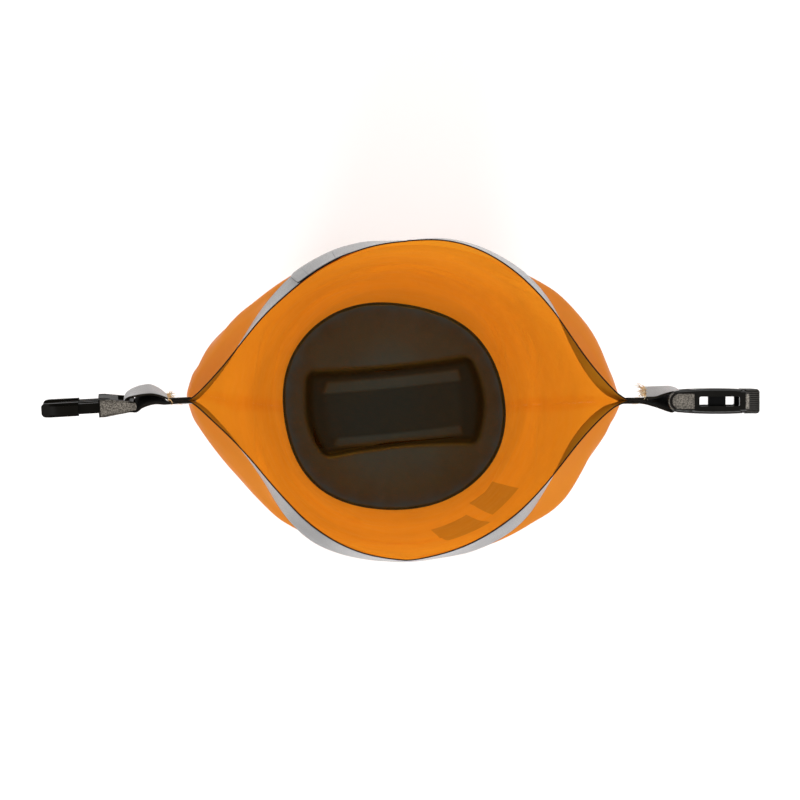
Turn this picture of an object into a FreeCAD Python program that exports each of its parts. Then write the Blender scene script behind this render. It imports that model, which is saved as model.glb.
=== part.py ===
import FreeCAD, Part
import math
import os

import Sketcher

# Roll-top dry bag: a film tube on a stiffer round base, one webbing sewn round the
# mouth, and a side-release buckle held in a webbing tab at each end of the mouth.
# Frame: origin on the ground at the centre of the base, +Z up, the socket half of
# the buckle towards +X and the plug half towards -X.

VEC = FreeCAD.Vector
doc = FreeCAD.newDocument("DryBag")

# ---------------------------------------------------------------- sizes

SIZES = (
    ("base_radius", 100.0, "inside radius of the film tube at the base"),
    ("bag_height", 440.0, "ground to the top edge of the mouth"),
    ("film_thick", 0.8, "wall of the film panels and of the base"),
    ("skin_gap", 0.05, "gap between layers that lie on each other"),
    ("webbing_gap", 0.2, "gap under the webbing and its thread, taken up by the weave"),
    ("upstand_height", 15.0, "height of the turned-up edge of the base"),
    ("plateau_length", 162.0, "length of the raised middle of the base"),
    ("plateau_width", 82.0, "width of the raised middle of the base"),
    ("plateau_height", 4.0, "top of the raised middle above the ground"),
    ("plateau_corner", 14.0, "corner radius of the raised middle"),
    ("base_turn", 5.6, "angle of the raised middle about the upright axis"),
    ("patch_length", 150.0, "length of the patch under the base"),
    ("patch_width", 68.0, "width of the patch under the base"),
    ("patch_corner", 10.0, "corner radius of the patch"),
    ("patch_level", 2.35, "underside of the patch above the ground"),
    ("strap_length", 125.0, "length of the carry strap under the base"),
    ("strap_width", 40.0, "width of the carry strap"),
    ("strap_thick", 1.4, "thickness of the carry strap"),
    ("strap_level", 0.9, "underside of the carry strap above the ground"),
    ("tack_length", 12.0, "length of a stitched box on the carry strap"),
    ("tack_inset", 4.0, "end of the carry strap to its stitched box"),
    ("thread_thick", 0.4, "height of a row of thread above the webbing"),
    ("thread_width", 1.2, "width of a row of thread"),
    ("seam_width", 10.0, "width of the tape over a side seam"),
    ("seam_thick", 0.5, "thickness of the seam tape"),
    ("seam_foot", 1.0, "lower end of the seam tape"),
    ("seam_top", 392.0, "upper end of the seam tape"),
    ("webbing_width", 25.0, "width of the mouth webbing"),
    ("webbing_thick", 1.5, "thickness of the mouth webbing"),
    ("lap_position", 62.6, "free end of the upper lap, from the middle of the mouth"),
    ("lap_length", 26.0, "length of the lap of the two webbing ends"),
    ("tab_reach", 122.2, "centre of the bag to the fold line of a webbing tab"),
    ("tab_pitch", 12.5, "upward slope of both buckle halves"),
    ("plug_swing", 3.5, "swing of the plug half about the upright fold line"),
    ("plug_roll", -7.0, "twist of the plug half about its length"),
    ("socket_roll", 2.0, "twist of the socket half about its length"),
    ("plug_tab_length", 28.5, "fold line to the bar of the plug half"),
    ("socket_tab_length", 25.1, "fold line to the bar of the socket half"),
    ("tab_sewn", 13.0, "length of the tab that is sewn flat"),
    ("bar_radius", 2.2, "radius of the webbing bars"),
    ("bar_play", 0.08, "clearance between a bar and the webbing round it"),
    ("buckle_width", 34.0, "width of both buckle halves"),
    ("slot_half", 13.2, "half the length of the webbing slot"),
    ("slot_end", 6.8, "bar axis to the end wall of the webbing slot"),
    ("rail_start", 0.5, "bar axis to the centre of the round rail end"),
    ("socket_rail", 5.9, "half the thickness of the socket rails"),
    ("socket_crown", 6.75, "half the thickness of the socket at its thickest"),
    ("socket_crown_at", 20.0, "bar axis to the thickest part of the socket"),
    ("socket_neck", 6.35, "half the thickness beside the collar groove"),
    ("collar_start", 32.9, "bar axis to the collar groove"),
    ("collar_end", 34.1, "bar axis to the far side of the collar groove"),
    ("collar_floor", 5.75, "half the thickness in the collar groove"),
    ("collar_half", 6.5, "half the thickness of the mouth collar"),
    ("collar_round", 1.8, "radius of the outer edges of the mouth collar"),
    ("socket_length", 41.7, "bar axis to the mouth of the socket"),
    ("pocket_start", 8.6, "bar axis to the end wall of the pocket"),
    ("pocket_half", 13.6, "half the width of the pocket"),
    ("pocket_height", 7.8, "height of the pocket"),
    ("window_start", 10.9, "bar axis to the near end of the side windows"),
    ("window_end", 31.5, "bar axis to the far end of the side windows"),
    ("window_height", 5.0, "height of the side windows"),
    ("pillar_start", 16.4, "bar axis to the near end of the centre pillar"),
    ("pillar_end", 25.6, "bar axis to the far end of the centre pillar"),
    ("pillar_width", 3.4, "width of the centre pillar"),
    ("grip_start", -3.1, "bar axis to the round end of the textured panel"),
    ("grip_end", 8.4, "bar axis to the straight end of the socket's panel"),
    ("grip_half", 4.1, "half the height of the socket's textured panel"),
    ("grip_depth", 0.35, "depth of the textured panels"),
    ("plug_half", 4.8, "half the thickness of the plug frame"),
    ("plug_rail_end", 2.9, "half the thickness of the plug rails at the bar"),
    ("plug_shoulder", 17.0, "bar axis to the shoulder that meets the socket"),
    ("plug_taper", 14.0, "bar axis to the thickest part of the plug rails"),
    ("plug_grip_end", 16.2, "bar axis to the straight end of the plug's panel"),
    ("plug_grip_half", 4.1, "half the height of the plug's textured panel"),
    ("plug_grip_round", 1.9, "half the height of the plug's panel at its round end"),
    ("guide_end", 38.0, "bar axis to the tip of the centre guides"),
    ("guide_inner", 2.3, "inner side of a centre guide"),
    ("guide_outer", 5.0, "outer side of a centre guide"),
    ("guide_height", 5.6, "thickness of the centre guides"),
    ("arm_root_along", 13.0, "bar axis to the bend line of an arm"),
    ("arm_root_across", 11.6, "middle of the buckle to the bend line of an arm"),
    ("arm_root_radius", 2.0, "radius of the root of an arm"),
    ("arm_play", 0.08, "clearance round the root of an arm"),
    ("arm_stem_height", 5.4, "thickness of the stem of an arm"),
    ("arm_pad_height", 7.2, "thickness of the pad of an arm"),
    ("arm_button_height", 4.6, "thickness of the part that fills the window"),
    ("arm_inner", 10.2, "inner side of the stem of an arm"),
    ("arm_outer", 13.2, "outer side of the stem of an arm"),
    ("arm_pad_inner", 9.4, "inner side of the pad of an arm"),
    ("arm_button_outer", 16.8, "outer side of the button of an arm"),
    ("arm_pad_start", 27.2, "bar axis to the catch face of an arm"),
    ("arm_end", 46.0, "bar axis to the tip of an arm"),
    ("arm_tip_round", 2.2, "radius of the edges of the tip of an arm"),
)

sheet = doc.addObject("Spreadsheet::Sheet", "Sizes")
for row, (alias, value, meaning) in enumerate(SIZES, start=1):
    sheet.set("A%d" % row, meaning)
    sheet.set("B%d" % row, str(value))
    sheet.setAlias("B%d" % row, alias)
doc.recompute()


def size(alias):
    return float(sheet.get(alias))


# ---------------------------------------------------------------- soft walls

# Cross-section of the film tube at each height: half width along X and half depth
# along Y as parts of the base radius, the power of the outline, and how sharply
# the two panels meet at the sides (0.5 is an ellipse, above 1 is a pinched lens).
STATIONS = (
    (0.000, 1.000, 1.000, 2.00, 0.50),
    (0.150, 1.000, 1.000, 2.00, 0.50),
    (0.350, 1.006, 0.996, 2.00, 0.50),
    (0.550, 1.025, 0.980, 2.00, 0.50),
    (0.700, 1.065, 0.950, 2.00, 0.50),
    (0.805, 1.120, 0.915, 2.00, 0.50),
    (0.870, 1.172, 0.890, 2.00, 0.55),
    (0.905, 1.198, 0.880, 2.10, 0.70),
    (0.925, 1.200, 0.873, 2.30, 0.95),
    (0.943, 1.190, 0.868, 2.50, 1.30),
    (0.968, 1.187, 0.862, 2.70, 1.42),
    (1.000, 1.185, 0.856, 2.80, 1.50),
)


def outline(height):
    """Half width, half depth, power and sharpness of the tube at a height."""
    level = min(max(height / size("bag_height"), 0.0), 1.0)
    index = 0
    while index < len(STATIONS) - 2 and STATIONS[index + 1][0] < level:
        index += 1
    low, high = STATIONS[index], STATIONS[index + 1]
    below = STATIONS[max(index - 1, 0)]
    above = STATIONS[min(index + 2, len(STATIONS) - 1)]
    span = high[0] - low[0]
    part = (level - low[0]) / span
    values = []
    for k in range(1, 5):
        slope_low = (high[k] - below[k]) / (high[0] - below[0])
        slope_high = (above[k] - low[k]) / (above[0] - low[0])
        values.append(
            (2 * part**3 - 3 * part**2 + 1) * low[k]
            + (part**3 - 2 * part**2 + part) * span * slope_low
            + (3 * part**2 - 2 * part**3) * high[k]
            + (part**3 - part**2) * span * slope_high
        )
    radius = size("base_radius")
    return values[0] * radius, values[1] * radius, values[2], values[3]


def on_outline(shape, angle):
    """Point of the outline; angles run from +X (0) over +Y to -X (pi)."""
    half_width, half_depth, power, sharp = shape
    cosine = math.cos(angle)
    depth = half_depth * max(1.0 - abs(cosine) ** power, 0.0) ** sharp
    return half_width * cosine, math.copysign(depth, math.sin(angle))


def offset_point(height, angle, distance):
    """Point at a distance outside the outline, on the side the angle is on."""
    shape = outline(height)
    step = 0.004
    side = math.copysign(1.0, angle)
    turn = abs(angle)
    x_pos, y_pos = on_outline(shape, turn)
    before = on_outline(shape, max(turn - step, 1e-4))
    after = on_outline(shape, min(turn + step, math.pi - 1e-4))
    tangent_x, tangent_y = after[0] - before[0], after[1] - before[1]
    length = math.hypot(tangent_x, tangent_y)
    normal_x, normal_y = tangent_y / length, -tangent_x / length
    return VEC(
        x_pos + normal_x * distance,
        side * (abs(y_pos) + normal_y * distance),
        height,
    )


def curve(points):
    spline = Part.BSplineCurve()
    spline.interpolate(Points=points)
    return spline.toShape()


def section_wire(height, angles, inner, outer, lift):
    """Closed outline of a layer of the wall between two distances, at one height."""
    inside = [offset_point(height, angle, inner(angle)) + lift for angle in angles]
    outside = [offset_point(height, angle, outer(angle)) + lift for angle in angles]
    edges = [
        curve(inside),
        Part.makeLine(inside[-1], outside[-1]),
        curve(list(reversed(outside))),
        Part.makeLine(outside[0], inside[0]),
    ]
    return Part.Wire(edges)


def wall_layer(heights, angles, inner, outer, lift=VEC(0, 0, 0)):
    wires = [section_wire(height, angles, inner, outer, lift) for height in heights]
    return Part.makeLoft(wires, True, True)


def spread(start, end, count):
    return [start + (end - start) * index / (count - 1.0) for index in range(count)]


def constant(distance):
    return lambda angle: distance


def side_angles(sign, start, end, count):
    return [sign * angle for angle in spread(start, end, count)]


def soft_piece(label, shape, placement=None):
    """A piece of film, webbing or thread whose shape comes from the outline."""
    piece = doc.addObject("Part::Feature", label)
    piece.Label = label
    piece.Shape = shape
    piece.Placement = placement or FreeCAD.Placement()
    return piece


nodes = []
full_height = size("bag_height")
film = size("film_thick")
gap = size("skin_gap")
webbing_gap = size("webbing_gap")
webbing_in = film + webbing_gap
webbing_out = webbing_in + size("webbing_thick")
webbing_foot = full_height - size("webbing_width")

# Every layer of the wall is drawn through the same angles and, round the mouth, the
# same heights, so that layers lie evenly on each other.
WALL_ANGLES = spread(0.0, math.pi, 37)
thread_height = size("thread_width")
row_levels = (webbing_foot + 2.5, full_height - 2.5 - thread_height)
band_heights = [webbing_foot, full_height - 0.5 * size("webbing_width"), full_height]
for level in row_levels:
    band_heights += [level, level + thread_height]
band_heights.sort()


def run_angles(sign, start, end, also=()):
    """The shared angles between two ends, the ends themselves, and some others."""
    inner = [angle for angle in WALL_ANGLES if start + 0.02 < angle < end - 0.02]
    inner = [a for a in inner if all(abs(a - other) > 0.02 for other in also)]
    return [sign * angle for angle in sorted([start, *inner, *also, end])]


# Two film panels, welded together along both sides.
panel_heights = spread(0.0, 0.75 * full_height, 9)[:-1]
panel_heights += spread(0.75 * full_height, webbing_foot, 10)[:-1] + band_heights
for label, sign in (("film_panel_back", 1.0), ("film_panel_front", -1.0)):
    angles = [sign * angle for angle in WALL_ANGLES]
    lift = VEC(0, sign * gap, 0)
    shape = wall_layer(panel_heights, angles, constant(0.0), constant(film), lift)
    nodes.append(soft_piece(label, shape))

# Tape over each side seam, outside the panels.
seam_heights = [h for h in panel_heights if size("seam_foot") < h < size("seam_top")]
seam_heights = [size("seam_foot")] + seam_heights + [size("seam_top")]
seam_angle = 0.5 * size("seam_width") / size("base_radius")
tape_in = film + 2.0 * gap
tape_out = tape_in + size("seam_thick")
for label, centre in (("side_seam_right", 0.0), ("side_seam_left", math.pi)):
    wires = []
    for height in seam_heights:
        outside = []
        inside = []
        for turn in spread(-seam_angle, seam_angle, 5):
            angle = turn if centre == 0.0 else math.copysign(centre - abs(turn), turn)
            outside.append(offset_point(height, angle, tape_out))
            inside.append(offset_point(height, angle, tape_in))
        edges = [
            curve(inside),
            Part.makeLine(inside[-1], outside[-1]),
            curve(list(reversed(outside))),
            Part.makeLine(outside[0], inside[0]),
        ]
        wires.append(Part.Wire(edges))
    nodes.append(soft_piece(label, Part.makeLoft(wires, True, True)))


def angle_at(height, x_pos):
    """Angle of the outline whose point has the given X."""
    half_width = outline(height)[0]
    return math.acos(max(min(x_pos / half_width, 1.0), -1.0))


# Webbing round the mouth: a front run, and a back run whose two ends lap.
lap_end = angle_at(full_height, -size("lap_position"))
lap_start = angle_at(full_height, size("lap_length") - size("lap_position"))
lap_rise = size("webbing_thick") + webbing_gap


lap_ramp = 0.1
ramp_angles = spread(lap_start - lap_ramp, lap_start, 5)


def lapped(base):
    """Distance that steps up over the end of the other run."""

    def distance(angle):
        part = (abs(angle) - (lap_start - lap_ramp)) / lap_ramp
        part = min(max(part, 0.0), 1.0)
        return base + lap_rise * part * part * (3.0 - 2.0 * part)

    return distance


shape = wall_layer(
    band_heights,
    run_angles(-1.0, 0.02, math.pi - 0.02),
    constant(webbing_in),
    constant(webbing_out),
)
nodes.append(soft_piece("mouth_webbing_front", shape))
shape = wall_layer(
    band_heights,
    run_angles(1.0, 0.02, lap_end, ramp_angles),
    lapped(webbing_in),
    lapped(webbing_out),
)
nodes.append(soft_piece("mouth_webbing_back_over", shape))
shape = wall_layer(
    band_heights,
    run_angles(1.0, lap_start + 0.01, math.pi - 0.02),
    constant(webbing_in),
    constant(webbing_out),
)
nodes.append(soft_piece("mouth_webbing_back_under", shape))

# Two rows of thread hold the webbing to the film, and a third group holds the lap.
thread_in = webbing_out + webbing_gap
thread_out = thread_in + size("thread_thick")
rows = []
for level in row_levels:
    heights = (level, level + thread_height)
    front_angles = run_angles(-1.0, 0.12, math.pi - 0.12)
    back_angles = run_angles(1.0, lap_end + 0.03, math.pi - 0.12)
    over_angles = run_angles(1.0, 0.12, lap_end - 0.03, ramp_angles)
    rows.append(
        wall_layer(heights, front_angles, constant(thread_in), constant(thread_out))
    )
    rows.append(
        wall_layer(heights, back_angles, constant(thread_in), constant(thread_out))
    )
    rows.append(
        wall_layer(heights, over_angles, lapped(thread_in), lapped(thread_out))
    )
nodes.append(soft_piece("mouth_stitching", Part.makeCompound(rows)))

lap_rows = []
for start in (lap_end - 0.06, lap_end - 0.20):
    lap_rows.append(
        wall_layer(
            (row_levels[0] + 3.0, row_levels[1] - 2.0),
            side_angles(1.0, start, start + 0.012, 3),
            lapped(thread_in),
            lapped(thread_out),
        )
    )
nodes.append(soft_piece("lap_stitching", Part.makeCompound(lap_rows)))


# ---------------------------------------------------------------- drawing tools


def cell(alias, factor=1.0):
    """A length from the sheet, as its value and the expression that drives it."""
    return factor * size(alias), "Sizes.%s * %s" % (alias, factor)


ZERO = (0.0, None)


def origin_plane(body, role):
    for feature in body.Origin.OriginFeatures:
        if feature.Role == role:
            return feature
    raise ValueError("no plane " + role)


def new_sketch(body, name, role, height=None):
    sketch = body.newObject("Sketcher::SketchObject", name)
    sketch.AttachmentSupport = [(origin_plane(body, role), "")]
    sketch.MapMode = "FlatFace"
    if height is not None:
        sketch.AttachmentOffset = FreeCAD.Placement(
            VEC(0, 0, height[0]), FreeCAD.Rotation()
        )
        sketch.setExpression("AttachmentOffset.Base.z", height[1])
    doc.recompute()
    return sketch


def bind(sketch, kind, geometry, point, value):
    number, expression = value
    index = sketch.addConstraint(
        Sketcher.Constraint(kind, -1, 1, geometry, point, number)
    )
    if expression is not None:
        sketch.setExpression("Constraints[%d]" % index, expression)


def arc_over(start, middle, end):
    """Arc of a circle through three points, and whether it runs from end to start."""
    ring = Part.Arc(start, middle, end).toShape().Curve
    centre = ring.Center
    turn = (middle - start).cross(end - middle).z
    first, last = (start, end) if turn > 0 else (end, start)
    angle_first = math.atan2(first.y - centre.y, first.x - centre.x)
    angle_last = math.atan2(last.y - centre.y, last.x - centre.x)
    if angle_last <= angle_first:
        angle_last += 2.0 * math.pi
    whole = Part.Circle(centre, VEC(0, 0, 1), ring.Radius)
    return Part.ArcOfCircle(whole, angle_first, angle_last), turn < 0


def closed_profile(sketch, corners, bulges=None):
    """Closed outline through corners; bulges give a point that an edge arcs over."""
    bulges = bulges or {}
    count = len(corners)
    spots = [VEC(x_value[0], y_value[0], 0) for x_value, y_value in corners]
    first = sketch.GeometryCount
    swapped = []
    for index in range(count):
        start, end = spots[index], spots[(index + 1) % count]
        if index in bulges:
            middle = VEC(bulges[index][0], bulges[index][1], 0)
            arc, reverse = arc_over(start, middle, end)
            sketch.addGeometry(arc, False)
            swapped.append(reverse)
        else:
            sketch.addGeometry(Part.LineSegment(start, end), False)
            swapped.append(False)
    for index in range(count):
        after = (index + 1) % count
        end_point = 1 if swapped[index] else 2
        start_point = 2 if swapped[after] else 1
        sketch.addConstraint(
            Sketcher.Constraint(
                "Coincident", first + index, end_point, first + after, start_point
            )
        )
    for index in range(count):
        x_value, y_value = corners[index]
        point = 2 if swapped[index] else 1
        bind(sketch, "DistanceX", first + index, point, x_value)
        bind(sketch, "DistanceY", first + index, point, y_value)


def rectangle(sketch, left, right, bottom, top):
    closed_profile(
        sketch, [(left, bottom), (right, bottom), (right, top), (left, top)]
    )


def combined(first, second, sign):
    """Sum or difference of two driven lengths."""
    joint = "+" if sign > 0 else "-"
    return first[0] + sign * second[0], "(%s) %s (%s)" % (first[1], joint, second[1])


def negative(value):
    return -value[0], "-(%s)" % value[1]


def rounded_rectangle(sketch, half_x, half_y, radius):
    """Rectangle about the sketch's origin with four round corners."""
    short_x = combined(half_x, radius, -1)
    short_y = combined(half_y, radius, -1)
    slack = radius[0] * (1.0 - math.sqrt(0.5))
    bulge_x, bulge_y = half_x[0] - slack, half_y[0] - slack
    corners = [
        (short_x, negative(half_y)),
        (half_x, negative(short_y)),
        (half_x, short_y),
        (short_x, half_y),
        (negative(short_x), half_y),
        (negative(half_x), short_y),
        (negative(half_x), negative(short_y)),
        (negative(short_x), negative(half_y)),
    ]
    bulges = {
        0: (bulge_x, -bulge_y),
        2: (bulge_x, bulge_y),
        4: (-bulge_x, bulge_y),
        6: (-bulge_x, -bulge_y),
    }
    closed_profile(sketch, corners, bulges)


def circle(sketch, centre_x, centre_y, radius):
    geometry = sketch.addGeometry(
        Part.Circle(VEC(centre_x[0], centre_y[0], 0), VEC(0, 0, 1), radius[0]), False
    )
    bind(sketch, "DistanceX", geometry, 3, centre_x)
    bind(sketch, "DistanceY", geometry, 3, centre_y)
    index = sketch.addConstraint(
        Sketcher.Constraint("Radius", geometry, radius[0])
    )
    sketch.setExpression("Constraints[%d]" % index, radius[1])


def extrude(body, kind, name, sketch, length, symmetric=False, backwards=False):
    """Pad or pocket of a sketch; checks that it changed the solid."""
    doc.recompute()
    before = body.Shape.Volume if not body.Shape.isNull() else 0.0
    feature = body.newObject(kind, name)
    feature.Profile = sketch
    feature.Length = length[0]
    feature.setExpression("Length", length[1])
    if symmetric:
        feature.SideType = "Symmetric"
    feature.Reversed = backwards
    doc.recompute()
    change = body.Shape.Volume - before
    if abs(change) < 1e-3 or (change > 0) != (kind == "PartDesign::Pad"):
        raise ValueError("%s of %s has no effect (%g)" % (name, body.Label, change))
    return feature


def round_edges(body, name, radius, wanted):
    """Fillet of every edge of the body that the test picks."""
    doc.recompute()
    tip = body.Tip
    picked = []
    for index, edge in enumerate(tip.Shape.Edges, start=1):
        if wanted(edge):
            picked.append("Edge%d" % index)
    fillet = body.newObject("PartDesign::Fillet", name)
    fillet.Base = (tip, picked)
    fillet.Radius = radius
    doc.recompute()
    return fillet


def new_body(label, placement=None):
    body = doc.addObject("PartDesign::Body", label)
    body.Label = label
    if placement is not None:
        body.Placement = placement
    doc.recompute()
    nodes.append(body)
    return body


def edge_heights(edge, axis):
    box = edge.BoundBox
    return getattr(box, axis + "Min"), getattr(box, axis + "Max")


def upright(edge):
    low, high = edge_heights(edge, "Z")
    return len(edge.Vertexes) == 2 and high - low > 0.9 * edge.Length


# ---------------------------------------------------------------- base

base_placement = FreeCAD.Placement(
    VEC(0, 0, 0), FreeCAD.Rotation(VEC(0, 0, 1), size("base_turn"))
)

body = new_body("base_cup", base_placement)
sketch = new_sketch(body, "cup_outside", "XY_Plane")
circle(sketch, ZERO, ZERO, (size("base_radius") - gap, "Sizes.base_radius - Sizes.skin_gap"))
extrude(body, "PartDesign::Pad", "cup_block", sketch, cell("upstand_height"))
sketch = new_sketch(body, "cup_inside", "XY_Plane", cell("film_thick"))
circle(
    sketch,
    ZERO,
    ZERO,
    (
        size("base_radius") - gap - film,
        "Sizes.base_radius - Sizes.skin_gap - Sizes.film_thick",
    ),
)
extrude(
    body, "PartDesign::Pocket", "cup_hollow", sketch, cell("upstand_height"), backwards=True
)
sketch = new_sketch(body, "plateau_outline", "XY_Plane")
half_long, half_wide = cell("plateau_length", 0.5), cell("plateau_width", 0.5)
rounded_rectangle(sketch, half_long, half_wide, cell("plateau_corner"))
extrude(body, "PartDesign::Pad", "plateau", sketch, cell("plateau_height"))
sketch = new_sketch(body, "recess_outline", "XY_Plane")
film_cell = cell("film_thick")
rounded_rectangle(
    sketch,
    combined(half_long, film_cell, -1),
    combined(half_wide, film_cell, -1),
    combined(cell("plateau_corner"), film_cell, -1),
)
recess_depth = combined(cell("plateau_height"), film_cell, -1)
extrude(body, "PartDesign::Pocket", "recess", sketch, recess_depth, backwards=True)

body = new_body("base_patch", base_placement)
sketch = new_sketch(body, "patch_outline", "XY_Plane", cell("patch_level"))
rounded_rectangle(
    sketch, cell("patch_length", 0.5), cell("patch_width", 0.5), cell("patch_corner")
)
extrude(body, "PartDesign::Pad", "patch_plate", sketch, cell("film_thick"))

strap = doc.addObject("Part::Box", "base_strap")
strap.Label = "base_strap"
strap.setExpression("Length", "Sizes.strap_length")
strap.setExpression("Width", "Sizes.strap_width")
strap.setExpression("Height", "Sizes.strap_thick")
strap.Placement = base_placement.multiply(
    FreeCAD.Placement(
        VEC(-0.5 * size("strap_length"), -0.5 * size("strap_width"), size("strap_level")),
        FreeCAD.Rotation(),
    )
)
nodes.append(strap)

# A stitched box near each end of the strap.
tack_frames = []
tack_half = 0.5 * size("strap_width") - 3.0
tack_level = size("strap_level") - gap - size("thread_thick")
for sign in (-1.0, 1.0):
    near = 0.5 * size("strap_length") - size("tack_inset") - size("tack_length")
    start = near if sign > 0 else -near - size("tack_length")
    outer_box = Part.makeBox(
        size("tack_length"),
        2.0 * tack_half,
        size("thread_thick"),
        VEC(start, -tack_half, tack_level),
    )
    inner_box = Part.makeBox(
        size("tack_length") - 2.0 * thread_height,
        2.0 * (tack_half - thread_height),
        size("thread_thick"),
        VEC(start + thread_height, thread_height - tack_half, tack_level),
    )
    tack_frames.append(outer_box.cut(inner_box))
nodes.append(
    soft_piece("base_strap_stitching", Part.makeCompound(tack_frames), base_placement)
)

# ---------------------------------------------------------------- webbing tabs

mouth_middle = full_height - 0.5 * size("webbing_width")


def aimed(angle_z, pitch, roll):
    """Turn for a local frame: X along the buckle, Y its thickness, Z its width."""
    turn = FreeCAD.Rotation(VEC(0, 0, 1), angle_z)
    turn = turn.multiply(FreeCAD.Rotation(VEC(0, 1, 0), -pitch))
    return turn.multiply(FreeCAD.Rotation(VEC(1, 0, 0), roll))


def heading(side):
    """Direction of a buckle half, seen from above."""
    return 0.0 if side > 0 else 180.0 + size("plug_swing")


def tab_frame(side):
    base = VEC(side * size("tab_reach"), 0, mouth_middle)
    return FreeCAD.Placement(base, aimed(heading(side), size("tab_pitch"), 0.0))


def half_frame(side, tab_length, roll):
    centre = tab_frame(side).multVec(VEC(tab_length, 0, 0))
    return FreeCAD.Placement(centre, aimed(heading(side), size("tab_pitch"), roll))


def turned_rectangle(x_pos, half_thick, half_width, roll, lean=0.0):
    turn = FreeCAD.Rotation(VEC(0, 1, 0), lean).multiply(
        FreeCAD.Rotation(VEC(1, 0, 0), roll)
    )
    corners = []
    for y_sign, z_sign in ((-1, -1), (1, -1), (1, 1), (-1, 1)):
        flat = VEC(0, y_sign * half_thick, z_sign * half_width)
        corners.append(turn.multVec(flat) + VEC(x_pos, 0, 0))
    return Part.makePolygon(corners + corners[:1])


def tear_face(point_x, point_half, bar_x, radius):
    """Area between a narrow end and the round of the webbing over the bar."""
    reach = bar_x - point_x
    distance = math.hypot(reach, point_half)
    aim = math.atan2(-point_half, reach)
    spread_angle = math.acos(radius / distance)
    touch = math.pi + aim - spread_angle
    upper = VEC(bar_x + radius * math.cos(touch), radius * math.sin(touch), 0)
    lower = VEC(upper.x, -upper.y, 0)
    edges = [
        Part.makeLine(VEC(point_x, point_half, 0), upper),
        Part.Arc(upper, VEC(bar_x + radius, 0, 0), lower).toShape(),
        Part.makeLine(lower, VEC(point_x, -point_half, 0)),
    ]
    if point_half > 1e-6:
        edges.append(
            Part.makeLine(VEC(point_x, -point_half, 0), VEC(point_x, point_half, 0))
        )
    return Part.Face(Part.Wire(edges))


def tab_shape(tab_length, roll):
    thick = size("webbing_thick") + gap
    half_width = 0.5 * size("webbing_width")
    sewn_end = size("tab_sewn")
    loop_start = tab_length - 9.0
    inner_radius = size("bar_radius") + size("bar_play")
    pitch = size("tab_pitch")
    rings = [turned_rectangle(0.0, thick, half_width, 0.0, pitch)]
    rings.append(turned_rectangle(0.4 * sewn_end, thick, half_width, 0.0, 0.4 * pitch))
    steps = 4
    for step in range(steps + 1):
        x_pos = sewn_end - 3.0 + (loop_start - sewn_end + 3.0) * step / steps
        rings.append(turned_rectangle(x_pos, thick, half_width, roll * step / steps))
    sewn = Part.makeLoft(rings, True, True)
    root = Part.makeCylinder(
        thick, 2.0 * half_width, VEC(0, 0, -half_width), VEC(0, 0, 1)
    )
    root.rotate(VEC(0, 0, 0), VEC(0, 1, 0), pitch)
    rise = VEC(0, 0, 2.0 * half_width)
    outer = tear_face(loop_start, thick, tab_length, inner_radius + thick)
    inner = tear_face(loop_start + 1.2, 0.0, tab_length, inner_radius)
    loop = outer.extrude(rise).cut(inner.extrude(rise))
    loop.translate(VEC(0, 0, -half_width))
    loop.rotate(VEC(0, 0, 0), VEC(1, 0, 0), roll)
    return sewn.fuse([root, loop]).removeSplitter()


def tab_stitches():
    thick = size("webbing_thick") + gap
    tall = size("webbing_width") - 5.0
    rows = []
    for start in (4.0, size("tab_sewn") - 4.0):
        for side in (-1.0, 1.0):
            near = thick + gap if side > 0 else -thick - gap - size("thread_thick")
            rows.append(
                Part.makeBox(
                    thread_height, size("thread_thick"), tall, VEC(start, near, -0.5 * tall)
                )
            )
    return Part.makeCompound(rows)


PLUG_SIDE, SOCKET_SIDE = -1.0, 1.0
nodes.append(
    soft_piece(
        "plug_tab_webbing",
        tab_shape(size("plug_tab_length"), size("plug_roll")),
        tab_frame(PLUG_SIDE),
    )
)
nodes.append(soft_piece("plug_tab_stitching", tab_stitches(), tab_frame(PLUG_SIDE)))
nodes.append(
    soft_piece(
        "socket_tab_webbing",
        tab_shape(size("socket_tab_length"), size("socket_roll")),
        tab_frame(SOCKET_SIDE),
    )
)
nodes.append(soft_piece("socket_tab_stitching", tab_stitches(), tab_frame(SOCKET_SIDE)))

# ---------------------------------------------------------------- socket half

socket_frame = half_frame(SOCKET_SIDE, size("socket_tab_length"), size("socket_roll"))
plug_frame = half_frame(PLUG_SIDE, size("plug_tab_length"), size("plug_roll"))


def webbing_slot_and_bar(body):
    """Opens the webbing slot and puts the round bar across it."""
    sketch = new_sketch(body, "slot_outline", "XZ_Plane")
    rectangle(
        sketch,
        cell("slot_end", -1.0),
        cell("slot_end"),
        cell("slot_half", -1.0),
        cell("slot_half"),
    )
    extrude(body, "PartDesign::Pocket", "slot", sketch, cell("buckle_width"), symmetric=True)
    sketch = new_sketch(body, "bar_outline", "XY_Plane")
    circle(sketch, ZERO, ZERO, cell("bar_radius"))
    bar_length = (2.0 * size("slot_half") + 2.0, "Sizes.slot_half * 2 + 2")
    extrude(body, "PartDesign::Pad", "bar", sketch, bar_length, symmetric=True)


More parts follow.
